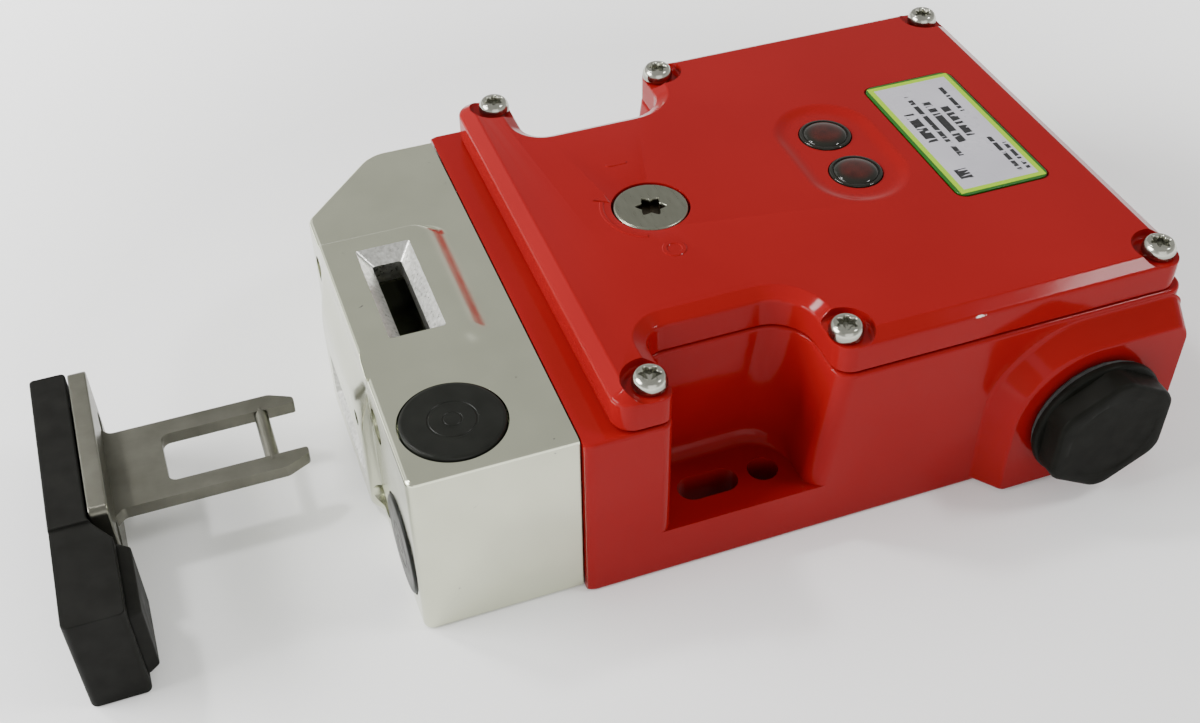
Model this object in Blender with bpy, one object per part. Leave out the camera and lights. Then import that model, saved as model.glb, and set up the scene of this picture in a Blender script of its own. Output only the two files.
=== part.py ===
"""Solenoid interlock switch with its actuator key.

A glossy red die-cast body with a screwed lid carries the solenoid, the contacts and two conduit
entries.  A bright metal head in front of it holds the star cam, which the key turns.  All sizes are
in millimetres.  +X runs from the head to the cable end, +Z up, and the origin is on the underside of
the base, midway between the two round fixing holes.
"""

import math

import bmesh
import bpy
from mathutils import Vector

MM = 0.001

# Running and seating gaps
GAP = 0.3
SLIDE_GAP = 0.4

# Body casting
BODY_LENGTH = 107.2
BODY_WIDTH = 88.4
BODY_HEIGHT = 34.3
JOINT_X = -34.1
FLOOR = 3.0
WALL = 3.6
FRONT_WALL = 7.5
EDGE_ROUND = 0.7
CORNER_ROUND = 3.2

# Side pockets over the fixing feet
POCKET_FRONT = -19.3
POCKET_LENGTH = 24.4
POCKET_DEPTH = 15.8
POCKET_FLARE = 3.0
POCKET_FILLET = 2.6
FOOT_HEIGHT = 10.0
FIXING_EDGE = 7.3
FIXING_RADIUS = 2.65
SLOT_X = -10.1
SLOT_LENGTH = 10.7

# Conduit bosses and their blanking plugs
BOSS_FROM_REAR = 17.7
BOSS_LEVEL_SHARE = 0.452
BOSS_RADIUS_SHARE = 0.417
BOSS_HEIGHT = 4.3
BOSS_SLOPE = 3.5
THREAD_RADIUS = 9.8
THREAD_LENGTH = 9.2
PLUG_FLANGE_RADIUS = 12.1
PLUG_FLANGE = 1.4
PLUG_ACROSS_FLATS = 22.4
PLUG_HEX_HEIGHT = 4.2
WASHER_THICKNESS = 1.0

# Lid
LID_HEIGHT = 6.7
LID_FRONT_STEP = 5.2
LID_REAR_STEP = 1.2
LID_SIDE_STEP = 0.3
LID_CHAMFER_WIDTH = 2.4
LID_CHAMFER_HEIGHT = 1.4
LID_ROOF = 3.0
GASKET_MARGIN = 1.1
GASKET_WIDTH = 0.9
GASKET_HEIGHT = 0.8

# Lid screws
SCREW_FROM_FRONT = 11.9
SCREW_BEHIND_POCKET = 2.7
SCREW_FROM_REAR = 4.6
SCREW_EDGE = 4.2
SCREW_RADIUS = 1.5
SCREW_LENGTH = 12.0
SCREW_HEAD_RADIUS = 2.85
SCREW_HEAD_HEIGHT = 2.2
SEAT_RADIUS = 4.6
SEAT_DEPTH = 1.6
LOBE_RADIUS = 1.35
LOBE_WAVE = 0.3
LOBE_DEPTH = 1.2

# Manual release
RELEASE_X = -6.3
RELEASE_RADIUS = 6.55
RELEASE_HEAD = 2.2
RELEASE_SHAFT = 3.0
RELEASE_BOSS_RADIUS = 7.6
RELEASE_PIN_RADIUS = 1.3
RELEASE_THROW = 1.6
STAR_RADIUS = 2.0
STAR_WAVE = 0.7
STAR_DEPTH = 1.3

# Indicator lamps and label
LAMP_BEFORE_LABEL = 21.9
LAMP_Y = 3.3
LAMP_PITCH = 12.2
LAMP_RADIUS = 4.6
DISH_RADIUS = 9.0
DISH_DEPTH = 0.6
BOARD_LENGTH = 18.0
BOARD_WIDTH = 31.0
BOARD_THICKNESS = 1.6
BOARD_DROP = 4.4
LABEL_FROM_REAR = 19.6
LABEL_Y = 1.5
LABEL_LENGTH = 18.0
LABEL_WIDTH = 36.4
LABEL_THICKNESS = 0.4
LABEL_RECESS = 0.5

# Head casting
HEAD_LENGTH = 27.3
HEAD_WIDTH = 85.0
HEAD_HEIGHT = 34.4
HEAD_CHAMFER_X = 15.0
HEAD_CHAMFER_Y = 15.9
PAD_HEIGHT = 2.0
PAD_NEAR = -14.1
PAD_FAR = 15.2
PAD_SLOPE = 2.9
PAD_LENGTH = 19.0
PAD_REAR_SLOPE = 2.2
PAD_FRONT_STEP = 0.1
FRONT_PAD_HEIGHT = 1.8
FRONT_PAD_SHOULDER = 22.0
PIN_HOLE_Y = -11.6
PIN_HOLE_Z = 20.8
PIN_HOLE_RADIUS = 1.4
PIN_HOLE_DEPTH = 4.0
FUNNEL_DEPTH = 2.4
FUNNEL_SLOPE = 2.2
SLOT_HALF_WIDTH = 9.75
SLOT_HALF_HEIGHT = 2.55
ENTRY_DEPTH = 10.2
CAVITY_FRONT = 6.0
CAVITY_HALF_WIDTH = 10.2
CAVITY_BOTTOM = 5.4
CAVITY_TOP = 30.8
HEAD_SCREWS = ((18.0, 6.0), (20.8, 26.6))
HEAD_SCREW_RADIUS = 1.5
HEAD_SCREW_HEAD = 2.75
HEAD_SCREW_HEIGHT = 3.0
HEAD_SCREW_SEAT = 4.0
HEAD_SCREW_SOCKET = 2.5
SEAL_RING_MARGIN = 2.0

# Sensor caps and the coils under them
CAP_Y = -31.7
CAP_RADIUS = 8.4
CAP_THICKNESS = 3.0
CAP_PROUD = 0.6
COIL_THICKNESS = 4.6

# Star cam
CAM_OFFSET = 7.5
CAM_HUB = 4.4
CAM_REACH = 7.8
CAM_ARM_HALF = 1.35
CAM_HALF_WIDTH = 4.6
AXLE_RADIUS = 2.4
AXLE_HALF_LENGTH = 14.0

# Lock bolt, plunger and solenoid
BOLT_SIZE = 5.6
BOLT_SHOULDER = -22.0
BOLT_END = 8.0
BOLT_PLATE_HALF = 6.4
BOLT_PLATE_HEIGHT = 4.4
BOLT_TRAVEL = 3.4
BOLT_NOSE_GAP = 1.2
BOLT_NOSE_TIP_HALF = 0.8
BOLT_NOSE_TAPER = 3.0
PLUNGER_RADIUS = 4.0
PLUNGER_NECK = 2.0
PLUNGER_REACH = 0.66
FRAME_START = 17.0
FRAME_TO_TERMINALS = 5.6
FRAME_HALF_WIDTH = 12.0
FRAME_PLATE = 2.2
FRAME_UNDER_BOARD = 1.9
BOBBIN_FLANGE = 1.6
BOBBIN_TUBE = 5.8
BOBBIN_RADIUS = 8.5
WINDING_RADIUS = 7.9
SPRING_RADIUS = 5.2
SPRING_WIRE = 0.45
SPRING_TURNS = 4

# Contact blocks and terminals
CONTACT_START = -14.0
CONTACT_LENGTH = 24.0
CONTACT_PLATE_GAP = 1.2
CONTACT_WALL_GAP = 3.2
CONTACT_STEP_SHARE = 0.43
CONTACT_HEIGHT = 18.0
TERMINAL_LENGTH = 8.6
TERMINAL_WIDTH = 40.0
TERMINAL_HEIGHT = 10.0
TERMINAL_COUNT = 4

# Actuator key
KEY_TIP_X = -71.5
KEY_LENGTH = 33.0
KEY_HALF_WIDTH = 9.3
KEY_THICKNESS = 2.4
KEY_TIP_TAPER = 4.1
KEY_TIP_HALF = 7.3
KEY_WINDOW_HALF = 5.75
KEY_WINDOW_LENGTH = 23.5
CROSSBAR_X = -77.6
CROSSBAR_RADIUS = 1.25
KEY_PLATE_THICKNESS = 3.1
KEY_PLATE_HALF = 17.4
KEY_FILLET = 1.3
KEY_HOLE_Y = 13.6
KEY_HOLE_RADIUS = 2.2
HOLDER_THICKNESS = 6.0
HOLDER_NEAR_END = 38.7
HOLDER_SHOULDER = 5.4
HOLDER_STEP = 1.2
TAG_Y = -29.4
TAG_LENGTH = 15.4
TAG_HEIGHT = 15.6
TAG_DEPTH = 5.0
TAG_PROUD = 2.0

# Places that follow from the sizes above
BODY_FRONT = JOINT_X
BODY_REAR = JOINT_X + BODY_LENGTH
HEAD_REAR = JOINT_X - GAP
HEAD_FRONT = JOINT_X - HEAD_LENGTH
LID_BOTTOM = BODY_HEIGHT + GAP
LID_TOP = LID_BOTTOM + LID_HEIGHT
LID_CEILING = LID_TOP - LID_ROOF
ENTRY_Z = ENTRY_DEPTH
ENTRY_X = HEAD_FRONT + ENTRY_DEPTH
CAM_X = ENTRY_X + CAM_OFFSET
CAM_Z = ENTRY_Z + CAM_OFFSET
KEY_FACE_X = KEY_TIP_X - KEY_LENGTH
KEY_BACK_X = KEY_FACE_X - KEY_PLATE_THICKNESS
HOLDER_FACE_X = KEY_BACK_X - GAP
HOLDER_BACK_X = HOLDER_FACE_X - HOLDER_THICKNESS
KEY_PLATE_HEIGHT = 2 * ENTRY_Z
POCKET_REAR = POCKET_FRONT + POCKET_LENGTH
POCKET_INNER = BODY_WIDTH / 2 - POCKET_DEPTH
FIXING_Y = BODY_WIDTH / 2 - FIXING_EDGE
BOSS_X = BODY_REAR - BOSS_FROM_REAR
BOSS_Z = BODY_HEIGHT * BOSS_LEVEL_SHARE
BOSS_RADIUS = BODY_HEIGHT * BOSS_RADIUS_SHARE
SCREW_X = (BODY_FRONT + SCREW_FROM_FRONT, POCKET_REAR + POCKET_FLARE + SCREW_BEHIND_POCKET,
           BODY_REAR - SCREW_FROM_REAR)
SCREW_Y = BODY_WIDTH / 2 - SCREW_EDGE
LABEL_X = BODY_REAR - LABEL_FROM_REAR
LAMP_X = LABEL_X - LAMP_BEFORE_LABEL
BOARD_BOTTOM = LID_CEILING - BOARD_DROP - BOARD_THICKNESS
SEAL_Z = LID_CEILING - 1.3
FRAME_END = BODY_REAR - WALL - GAP - TERMINAL_LENGTH - FRAME_TO_TERMINALS
FRAME_TOP = BOARD_BOTTOM - FRAME_UNDER_BOARD
PLUNGER_END = FRAME_START + (FRAME_END - FRAME_START) * PLUNGER_REACH
CONTACT_INNER = BOLT_PLATE_HALF + CONTACT_PLATE_GAP
CONTACT_WIDTH = POCKET_INNER - WALL - CONTACT_WALL_GAP - CONTACT_INNER

ARC_STEPS = 3
ROUND_STEPS = 24
SCREW_STEPS = 18


def material(name, color, metallic, roughness):
    """A Principled material; colour is linear RGB."""
    made = bpy.data.materials.new(name)
    made.use_nodes = True
    shader = made.node_tree.nodes["Principled BSDF"]
    shader.inputs["Base Color"].default_value = (*color, 1.0)
    shader.inputs["Metallic"].default_value = metallic
    shader.inputs["Roughness"].default_value = roughness
    return made


def place(name, bm, look=None, origin=(0, 0, 0), parent=None, smooth=40):
    """Makes an object of a mesh given in millimetres, with its origin where it is wanted."""
    bmesh.ops.recalc_face_normals(bm, faces=bm.faces)
    shift = Vector(origin)
    for vert in bm.verts:
        vert.co = (vert.co - shift) * MM
    mesh = bpy.data.meshes.new(name)
    bm.to_mesh(mesh)
    bm.free()
    mesh.shade_smooth()
    mesh.set_sharp_from_angle(angle=math.radians(smooth))
    if look is not None:
        mesh.materials.append(look)
    obj = bpy.data.objects.new(name, mesh)
    obj.location = shift * MM
    if parent is not None:
        obj.parent = parent
        obj.location = shift * MM - parent.location
    bpy.context.collection.objects.link(obj)
    return obj


def copy_at(name, source, offset):
    """Another object with the same mesh, moved by offset."""
    obj = bpy.data.objects.new(name, source.data)
    obj.location = source.location + Vector(offset) * MM
    bpy.context.collection.objects.link(obj)
    return obj


def axis_empty(name, point):
    """An empty on a joint's axis, which carries the pieces that move about it."""
    empty = bpy.data.objects.new(name, None)
    empty.location = Vector(point) * MM
    empty.empty_display_size = 5 * MM
    bpy.context.collection.objects.link(empty)
    return empty


def helper(obj):
    """Hides a cutter or a joined shape, so that it isn't a piece by itself."""
    obj.hide_render = True
    obj.display_type = "WIRE"
    return obj


def boolean(target, other, operation):
    helper(other)
    modifier = target.modifiers.new(f"{operation.lower()}_{other.name}", "BOOLEAN")
    modifier.operation = operation
    modifier.solver = "EXACT"
    modifier.object = other


def cut(target, *cutters):
    for cutter in cutters:
        boolean(target, cutter, "DIFFERENCE")


def join(target, *others):
    for other in others:
        boolean(target, other, "UNION")


def rounded(corners, inset=0.0, steps=ARC_STEPS):
    """Counter-clockwise outline with an arc at each (x, y, radius) corner, moved inwards by inset."""
    points = []
    count = len(corners)
    for i, (x, y, radius) in enumerate(corners):
        corner = Vector((x, y))
        before = Vector(corners[i - 1][:2])
        after = Vector(corners[(i + 1) % count][:2])
        u = (corner - before).normalized()
        v = (after - corner).normalized()
        turn = math.copysign(1.0, u.x * v.y - u.y * v.x)
        normal_u = Vector((-u.y, u.x))
        normal_v = Vector((-v.y, v.x))
        corner = corner + (normal_u + normal_v) * (inset / (1 + normal_u.dot(normal_v)))
        arc = max(radius - turn * inset, 0.05)
        angle = math.acos(max(-1.0, min(1.0, u.dot(v))))
        centre = corner - u * arc * math.tan(angle / 2) + normal_u * turn * arc
        spoke = -normal_u * turn * arc
        for k in range(steps + 1):
            a = turn * angle * k / steps
            points.append((centre.x + spoke.x * math.cos(a) - spoke.y * math.sin(a),
                           centre.y + spoke.x * math.sin(a) + spoke.y * math.cos(a)))
    return points


def box_corners(x0, x1, y0, y1, radius):
    return [(x0, y0, radius), (x1, y0, radius), (x1, y1, radius), (x0, y1, radius)]


def circle(radius, x=0.0, y=0.0, steps=ROUND_STEPS):
    return [(x + radius * math.cos(math.tau * k / steps), y + radius * math.sin(math.tau * k / steps))
            for k in range(steps)]


def lobed(radius, wave, lobes, x=0.0, y=0.0, steps=SCREW_STEPS):
    """Round outline whose radius swells and falls in a number of lobes."""
    points = []
    for k in range(steps):
        a = math.tau * k / steps
        r = radius + wave * math.cos(lobes * a)
        points.append((x + r * math.cos(a), y + r * math.sin(a)))
    return points


def hexagon(across_flats, x=0.0, y=0.0, steps=ROUND_STEPS):
    """Hexagon with rounded corners, as many points as a circle of the same steps."""
    points = []
    for k in range(steps):
        a = math.tau * k / steps
        off = (a + math.pi / 6) % (math.pi / 3) - math.pi / 6
        r = min(across_flats / 2 / math.cos(off), across_flats / 2 * 1.10)
        points.append((x + r * math.cos(a), y + r * math.sin(a)))
    return points


def lifted(points, axis, level):
    """2-D points on a plane across the axis: (x, y) for Z, (y, z) for X, (x, z) for Y."""
    if axis == "X":
        return [(level, a, b) for a, b in points]
    if axis == "Y":
        return [(a, level, b) for a, b in points]
    return [(a, b, level) for a, b in points]


def loft(rings, closed=False):
    """Skin through rings of equal count; the ends are capped, or joined into a closed tube."""
    bm = bmesh.new()
    layers = [[bm.verts.new(point) for point in ring] for ring in rings]
    pairs = list(zip(layers, layers[1:]))
    if closed:
        pairs.append((layers[-1], layers[0]))
    for low, high in pairs:
        for k in range(len(low)):
            n = (k + 1) % len(low)
            bm.faces.new((low[k], low[n], high[n], high[k]))
    if not closed:
        bm.faces.new(list(reversed(layers[0])))
        bm.faces.new(layers[-1])
    return bm


def prism(points, axis, low, high):
    return loft([lifted(points, axis, low), lifted(points, axis, high)])


def softened(corners, axis, low, high, radius, steps=3):
    """Prism of a rounded outline whose two end edges are rounded as well."""
    rings = []
    for k in range(steps + 1):
        a = math.pi / 2 * k / steps
        rings.append(lifted(rounded(corners, radius * (1 - math.sin(a))), axis,
                            low + radius * (1 - math.cos(a))))
    for k in range(steps + 1):
        a = math.pi / 2 * (1 - k / steps)
        rings.append(lifted(rounded(corners, radius * (1 - math.sin(a))), axis,
                            high - radius * (1 - math.cos(a))))
    return loft(rings)


def turned(profile, axis, x=0.0, y=0.0, steps=ROUND_STEPS, closed=False):
    """Solid of (radius, level) stations about an axis through (x, y) of its own plane."""
    return loft([lifted(circle(r, x, y, steps), axis, level) for r, level in profile], closed)


def pocketed(front, rear, half, pocket_front, pocket_rear, inner, radius, inset=0.0, flat=False):
    """Plan outline of body or lid with a pocket in each side; flat fills the pockets level.

    Each pocket is four corners: its front mouth, two inner corners and its rear mouth.
    """
    mouth = 2.2
    near = [(pocket_front, -half, mouth), (pocket_front, -inner, 4.2),
            (pocket_rear, -inner, 7.0), (pocket_rear, -half, mouth + 1.2)]
    far = [(x, -y, r) for x, y, r in reversed(near)]
    corners = [(front, -half, radius), *near, (rear, -half, radius), (rear, half, radius), *far,
               (front, half, radius)]
    points = rounded(corners, inset)
    if flat:
        per_corner = ARC_STEPS + 1
        for first, side in ((1, -1), (7, 1)):
            start = first * per_corner
            run = points[start:start + 4 * per_corner]
            a, b = run[0][0], run[-1][0]
            for k in range(len(run)):
                share = k / (len(run) - 1)
                points[start + k] = (a + (b - a) * share, side * (half - inset))
    return points


def body_ring(level, inset=0.0, flare=0.0, draft=0.0, flat=False):
    ring = pocketed(BODY_FRONT, BODY_REAR, BODY_WIDTH / 2, POCKET_FRONT, POCKET_REAR + flare,
                    POCKET_INNER + draft, CORNER_ROUND, inset, flat)
    return lifted(ring, "Z", level)


def body_outer():
    """Skin of the body: a plain foot, then the pocket floor, its fillet and the drafted walls."""
    rings = [body_ring(0.0, inset=EDGE_ROUND, flat=True), body_ring(EDGE_ROUND, flat=True),
             body_ring(FOOT_HEIGHT, flat=True)]
    span = BODY_HEIGHT - EDGE_ROUND - FOOT_HEIGHT
    for k in range(3):
        a = math.pi / 2 * k / 2
        rise = POCKET_FILLET * (1 - math.cos(a))
        rings.append(body_ring(FOOT_HEIGHT + rise, flare=POCKET_FLARE * rise / span,
                               draft=POCKET_FILLET * (1 - math.sin(a))))
    rings.append(body_ring(BODY_HEIGHT - EDGE_ROUND, flare=POCKET_FLARE))
    rings.append(body_ring(BODY_HEIGHT - EDGE_ROUND * 0.3, flare=POCKET_FLARE, inset=EDGE_ROUND * 0.3))
    rings.append(body_ring(BODY_HEIGHT, flare=POCKET_FLARE, inset=EDGE_ROUND))
    return loft(rings)


def hollow_plan(inset=0.0):
    """Plan of the hollow: narrow between the pockets, wide behind them, stepped round the rear posts."""
    front = BODY_FRONT + FRONT_WALL
    rear = BODY_REAR - WALL
    narrow = POCKET_INNER - WALL
    wide = BODY_WIDTH / 2 - WALL
    wide_start = SCREW_X[1] + SCREW_RADIUS + WALL
    post_x = SCREW_X[2] - SCREW_RADIUS - WALL + GAP
    post_y = SCREW_Y - SCREW_RADIUS - WALL + GAP
    side = [(front, -narrow, 2.0), (wide_start, -narrow, 2.6), (wide_start, -wide, 2.0), (post_x, -wide, 2.0),
            (post_x, -post_y, 2.6), (rear, -post_y, 2.0)]
    return rounded(side + [(x, -y, r) for x, y, r in reversed(side)], inset, 2)


def boss_corners(slope):
    """Outline of a conduit boss in x and z; slope widens it from its face to the body's wall."""
    return [(BOSS_X - BOSS_RADIUS - slope, EDGE_ROUND, 0.8),
            (BODY_REAR - 1.2 + 0.2 * slope, EDGE_ROUND, 1.2),
            (BODY_REAR - 1.2 + 0.2 * slope, BOSS_Z + BOSS_RADIUS + slope * 0.9, 3.0),
            (BOSS_X - BOSS_RADIUS - slope, BOSS_Z + BOSS_RADIUS + slope * 0.9, BOSS_RADIUS + slope * 0.6)]


def conduit_boss(name, side):
    half = BODY_WIDTH / 2
    rings = [lifted(rounded(boss_corners(BOSS_SLOPE)), "Y", side * (half - 1.5)),
             lifted(rounded(boss_corners(BOSS_SLOPE)), "Y", side * (half + 0.15)),
             lifted(rounded(boss_corners(0.5)), "Y", side * (half + BOSS_HEIGHT - 0.5)),
             lifted(rounded(boss_corners(0.0)), "Y", side * (half + BOSS_HEIGHT - 0.12)),
             lifted(rounded(boss_corners(-0.5)), "Y", side * (half + BOSS_HEIGHT))]
    return place(name, loft(rings))


def hole(name, axis, radius, low, high, a, b, steps=ROUND_STEPS):
    """Round cutter along an axis, through (a, b) of the plane across it."""
    return place(name, turned([(radius, low), (radius, high)], axis, a, b, steps))


def body_casting(look):
    body = place("body_casting", body_outer(), look)
    for label, side in (("near", -1), ("far", 1)):
        join(body, conduit_boss(f"boss_{label}", side))
    cut(body, place("body_hollow", prism(hollow_plan(), "Z", FLOOR, BODY_HEIGHT + 2)))
    outer = hollow_plan(-(GASKET_MARGIN + GASKET_WIDTH + GAP))
    inner = hollow_plan(-(GASKET_MARGIN - GAP))
    low = BODY_HEIGHT - GASKET_HEIGHT - GAP
    cut(body, place("lid_gasket_groove", loft([lifted(outer, "Z", low), lifted(outer, "Z", BODY_HEIGHT + 1),
                                               lifted(inner, "Z", BODY_HEIGHT + 1),
                                               lifted(inner, "Z", low)], closed=True)))
    for label, side in (("near", -1), ("far", 1)):
        outside = side * (BODY_WIDTH / 2 + BOSS_HEIGHT + 1)
        inside = outside - side * (THREAD_LENGTH + 2)
        cut(body, hole(f"conduit_{label}", "Y", THREAD_RADIUS + GAP, inside, outside, BOSS_X, BOSS_Z))
        cut(body, hole(f"fixing_{label}", "Z", FIXING_RADIUS, -1, FOOT_HEIGHT + 1, 0.0, side * FIXING_Y, 20))
        slot = box_corners(SLOT_X - SLOT_LENGTH / 2, SLOT_X + SLOT_LENGTH / 2, side * FIXING_Y - FIXING_RADIUS,
                           side * FIXING_Y + FIXING_RADIUS, FIXING_RADIUS - 0.02)
        cut(body, place(f"fixing_slot_{label}", prism(rounded(slot), "Z", -1, FOOT_HEIGHT + 1)))
        for number, x in enumerate(SCREW_X):
            cut(body, hole(f"lid_thread_{label}_{number}", "Z", SCREW_RADIUS + GAP,
                           LID_TOP - SEAT_DEPTH - SCREW_LENGTH, BODY_HEIGHT + 1, x, side * SCREW_Y, 12))
        for number, (y, z) in enumerate(HEAD_SCREWS):
            cut(body, hole(f"head_thread_{label}_{number}", "X", HEAD_SCREW_RADIUS + GAP, BODY_FRONT - 1,
                           BODY_FRONT + FRONT_WALL - 1.2, side * y, z, 12))
    half = BOLT_SIZE / 2 + SLIDE_GAP
    bore = box_corners(-half, half, CAM_Z - half, CAM_Z + half, 0.8)
    cut(body, place("bolt_bore", prism(rounded(bore), "X", BODY_FRONT - 1, BODY_FRONT + FRONT_WALL + 1)))
    return body


def lid_ring(level, inset):
    ring = pocketed(BODY_FRONT + LID_FRONT_STEP, BODY_REAR - LID_REAR_STEP, BODY_WIDTH / 2 - LID_SIDE_STEP,
                    POCKET_FRONT, POCKET_REAR + POCKET_FLARE, POCKET_INNER, CORNER_ROUND + 0.4, inset)
    return lifted(ring, "Z", level)


def lid_shell():
    lip = LID_TOP - LID_CHAMFER_HEIGHT
    return loft([lid_ring(LID_BOTTOM, 0.4), lid_ring(LID_BOTTOM + 0.4, 0.0), lid_ring(lip - 0.5, 0.0),
                 lid_ring(lip, 0.25), lid_ring(LID_TOP - 0.2, LID_CHAMFER_WIDTH - 0.3),
                 lid_ring(LID_TOP, LID_CHAMFER_WIDTH + 0.4)])


def lamp_places():
    return [(LAMP_X, LAMP_Y - LAMP_PITCH / 2), (LAMP_X, LAMP_Y + LAMP_PITCH / 2)]


def lid_cover(look):
    lid = place("lid", lid_shell(), look)
    cut(lid, place("lid_hollow", prism(hollow_plan(0.4), "Z", LID_BOTTOM - 1, LID_CEILING)))
    join(lid, place("release_boss", turned([(RELEASE_BOSS_RADIUS, LID_BOTTOM - 1.6),
                                            (RELEASE_BOSS_RADIUS, LID_CEILING + 1)], "Z", RELEASE_X)))
    for number, y in enumerate((-1, 1)):
        post_y = LAMP_Y + y * (BOARD_WIDTH / 2 - 2.6)
        join(lid, place(f"board_post_{number}", turned([(1.9, LID_CEILING - BOARD_DROP + GAP),
                                                        (1.9, LID_CEILING + 1)], "Z", LAMP_X, post_y, 16)))
    cut(lid, hole("release_seat", "Z", RELEASE_RADIUS + GAP, LID_TOP - RELEASE_HEAD - GAP, LID_TOP + 1,
                  RELEASE_X, 0.0))
    cut(lid, hole("release_bore", "Z", RELEASE_SHAFT + GAP, LID_BOTTOM - 3, LID_TOP, RELEASE_X, 0.0, 24))
    cut(lid, hole("seal_groove", "Z", RELEASE_SHAFT + 1.9, SEAL_Z - 1, SEAL_Z + 1, RELEASE_X, 0.0, 24))
    dish = box_corners(LAMP_X - DISH_RADIUS, LAMP_X + DISH_RADIUS, LAMP_Y - LAMP_PITCH / 2 - DISH_RADIUS,
                       LAMP_Y + LAMP_PITCH / 2 + DISH_RADIUS, DISH_RADIUS - 0.02)
    cut(lid, place("lamp_dish", loft([lifted(rounded(dish, 1.8), "Z", LID_TOP - DISH_DEPTH),
                                      lifted(rounded(dish, 1.0), "Z", LID_TOP - DISH_DEPTH * 0.8),
                                      lifted(rounded(dish, -0.2), "Z", LID_TOP + 0.1),
                                      lifted(rounded(dish, -0.2), "Z", LID_TOP + 1)])))
    for number, (x, y) in enumerate(lamp_places()):
        cut(lid, hole(f"lamp_bore_{number}", "Z", LAMP_RADIUS + GAP, LID_CEILING - 1, LID_TOP + 1, x, y, 24))
    label = box_corners(LABEL_X - LABEL_LENGTH / 2 - GAP, LABEL_X + LABEL_LENGTH / 2 + GAP,
                        LABEL_Y - LABEL_WIDTH / 2 - GAP, LABEL_Y + LABEL_WIDTH / 2 + GAP, 2.0)
    cut(lid, place("label_recess", prism(rounded(label), "Z", LID_TOP - LABEL_RECESS, LID_TOP + 1)))
    for label, side in (("near", -1), ("far", 1)):
        for number, x in enumerate(SCREW_X):
            cut(lid, hole(f"seat_{label}_{number}", "Z", SEAT_RADIUS, LID_TOP - SEAT_DEPTH, LID_TOP + 1,
                          x, side * SCREW_Y, 28))
            cut(lid, hole(f"lid_bore_{label}_{number}", "Z", SCREW_RADIUS + GAP, LID_BOTTOM - 1, LID_TOP,
                          x, side * SCREW_Y, 12))
    return lid


def lid_gasket(look):
    outer = hollow_plan(-(GASKET_MARGIN + GASKET_WIDTH))
    inner = hollow_plan(-GASKET_MARGIN)
    low = BODY_HEIGHT - GASKET_HEIGHT
    high = BODY_HEIGHT
    place("lid_gasket", loft([lifted(outer, "Z", low), lifted(outer, "Z", high), lifted(inner, "Z", high),
                              lifted(inner, "Z", low)], closed=True), look)


def pan_screw(name, look):
    """Pan head with a six-lobe recess; the shank's thread is left plain."""
    seat = LID_TOP - SEAT_DEPTH + GAP
    x, y = SCREW_X[0], -SCREW_Y
    r, h = SCREW_HEAD_RADIUS, SCREW_HEAD_HEIGHT
    profile = [(SCREW_RADIUS, seat - SCREW_LENGTH + 1.5), (SCREW_RADIUS, seat), (r * 0.97, seat),
               (r, seat + 0.35 * h), (r * 0.9, seat + 0.72 * h), (r * 0.72, seat + 0.93 * h)]
    rings = [lifted(circle(radius, x, y, SCREW_STEPS), "Z", z) for radius, z in profile]
    lobes = lobed(LOBE_RADIUS, LOBE_WAVE, 6, x, y)
    rings.append(lifted(lobes, "Z", seat + h))
    rings.append(lifted(lobes, "Z", seat + h - LOBE_DEPTH))
    return place(name, loft(rings), look, origin=(x, y, seat))


def socket_screw(name, look, y, z):
    """Cylinder head screw with a hexagon socket, which holds the head casting to the body."""
    seat = HEAD_FRONT + HEAD_SCREW_SEAT - GAP
    end = BODY_FRONT + FRONT_WALL - 2.0
    face = seat - HEAD_SCREW_HEIGHT
    profile = [(HEAD_SCREW_RADIUS, end), (HEAD_SCREW_RADIUS, seat), (HEAD_SCREW_HEAD, seat),
               (HEAD_SCREW_HEAD, face + 0.3), (HEAD_SCREW_HEAD - 0.3, face)]
    rings = [lifted(circle(radius, y, z, SCREW_STEPS), "X", x) for radius, x in profile]
    socket = hexagon(HEAD_SCREW_SOCKET, y, z, SCREW_STEPS)
    rings.append(lifted(socket, "X", face))
    rings.append(lifted(socket, "X", face + 1.6))
    return place(name, loft(rings), look, origin=(seat, y, z))


def head_corners():
    half = HEAD_WIDTH / 2
    return [(HEAD_FRONT, -half, 1.6), (HEAD_REAR, -half, 0.6), (HEAD_REAR, half, 0.6),
            (HEAD_FRONT + HEAD_CHAMFER_X, half, 7.0), (HEAD_FRONT, half - HEAD_CHAMFER_Y, 3.0)]


def top_pad():
    """Raised field round the top entry, with a long S-shaped flank on every side but the front."""
    top = HEAD_HEIGHT + PAD_HEIGHT
    edge = 0.5
    rings = []
    for t in (0.0, 0.0, 0.18, 0.36, 0.5, 0.64, 0.82, 1.0):
        z = HEAD_HEIGHT + PAD_HEIGHT * (1 - math.cos(math.pi * t)) / 2 if rings else HEAD_HEIGHT - 1.2
        out = 1 - t
        front = HEAD_FRONT - PAD_FRONT_STEP + max(0.0, z - top + edge)
        corners = [(front, PAD_NEAR - PAD_SLOPE * out, 0.2),
                   (HEAD_FRONT + PAD_LENGTH + PAD_REAR_SLOPE * out, PAD_NEAR - PAD_SLOPE * out, 1.5 + 2 * out),
                   (HEAD_FRONT + PAD_LENGTH + PAD_REAR_SLOPE * out, PAD_FAR + PAD_SLOPE * out, 1.5 + 2 * out),
                   (front, PAD_FAR + PAD_SLOPE * out, 0.2)]
        rings.append(lifted(rounded(corners), "Z", z))
    return loft(rings)


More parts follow.
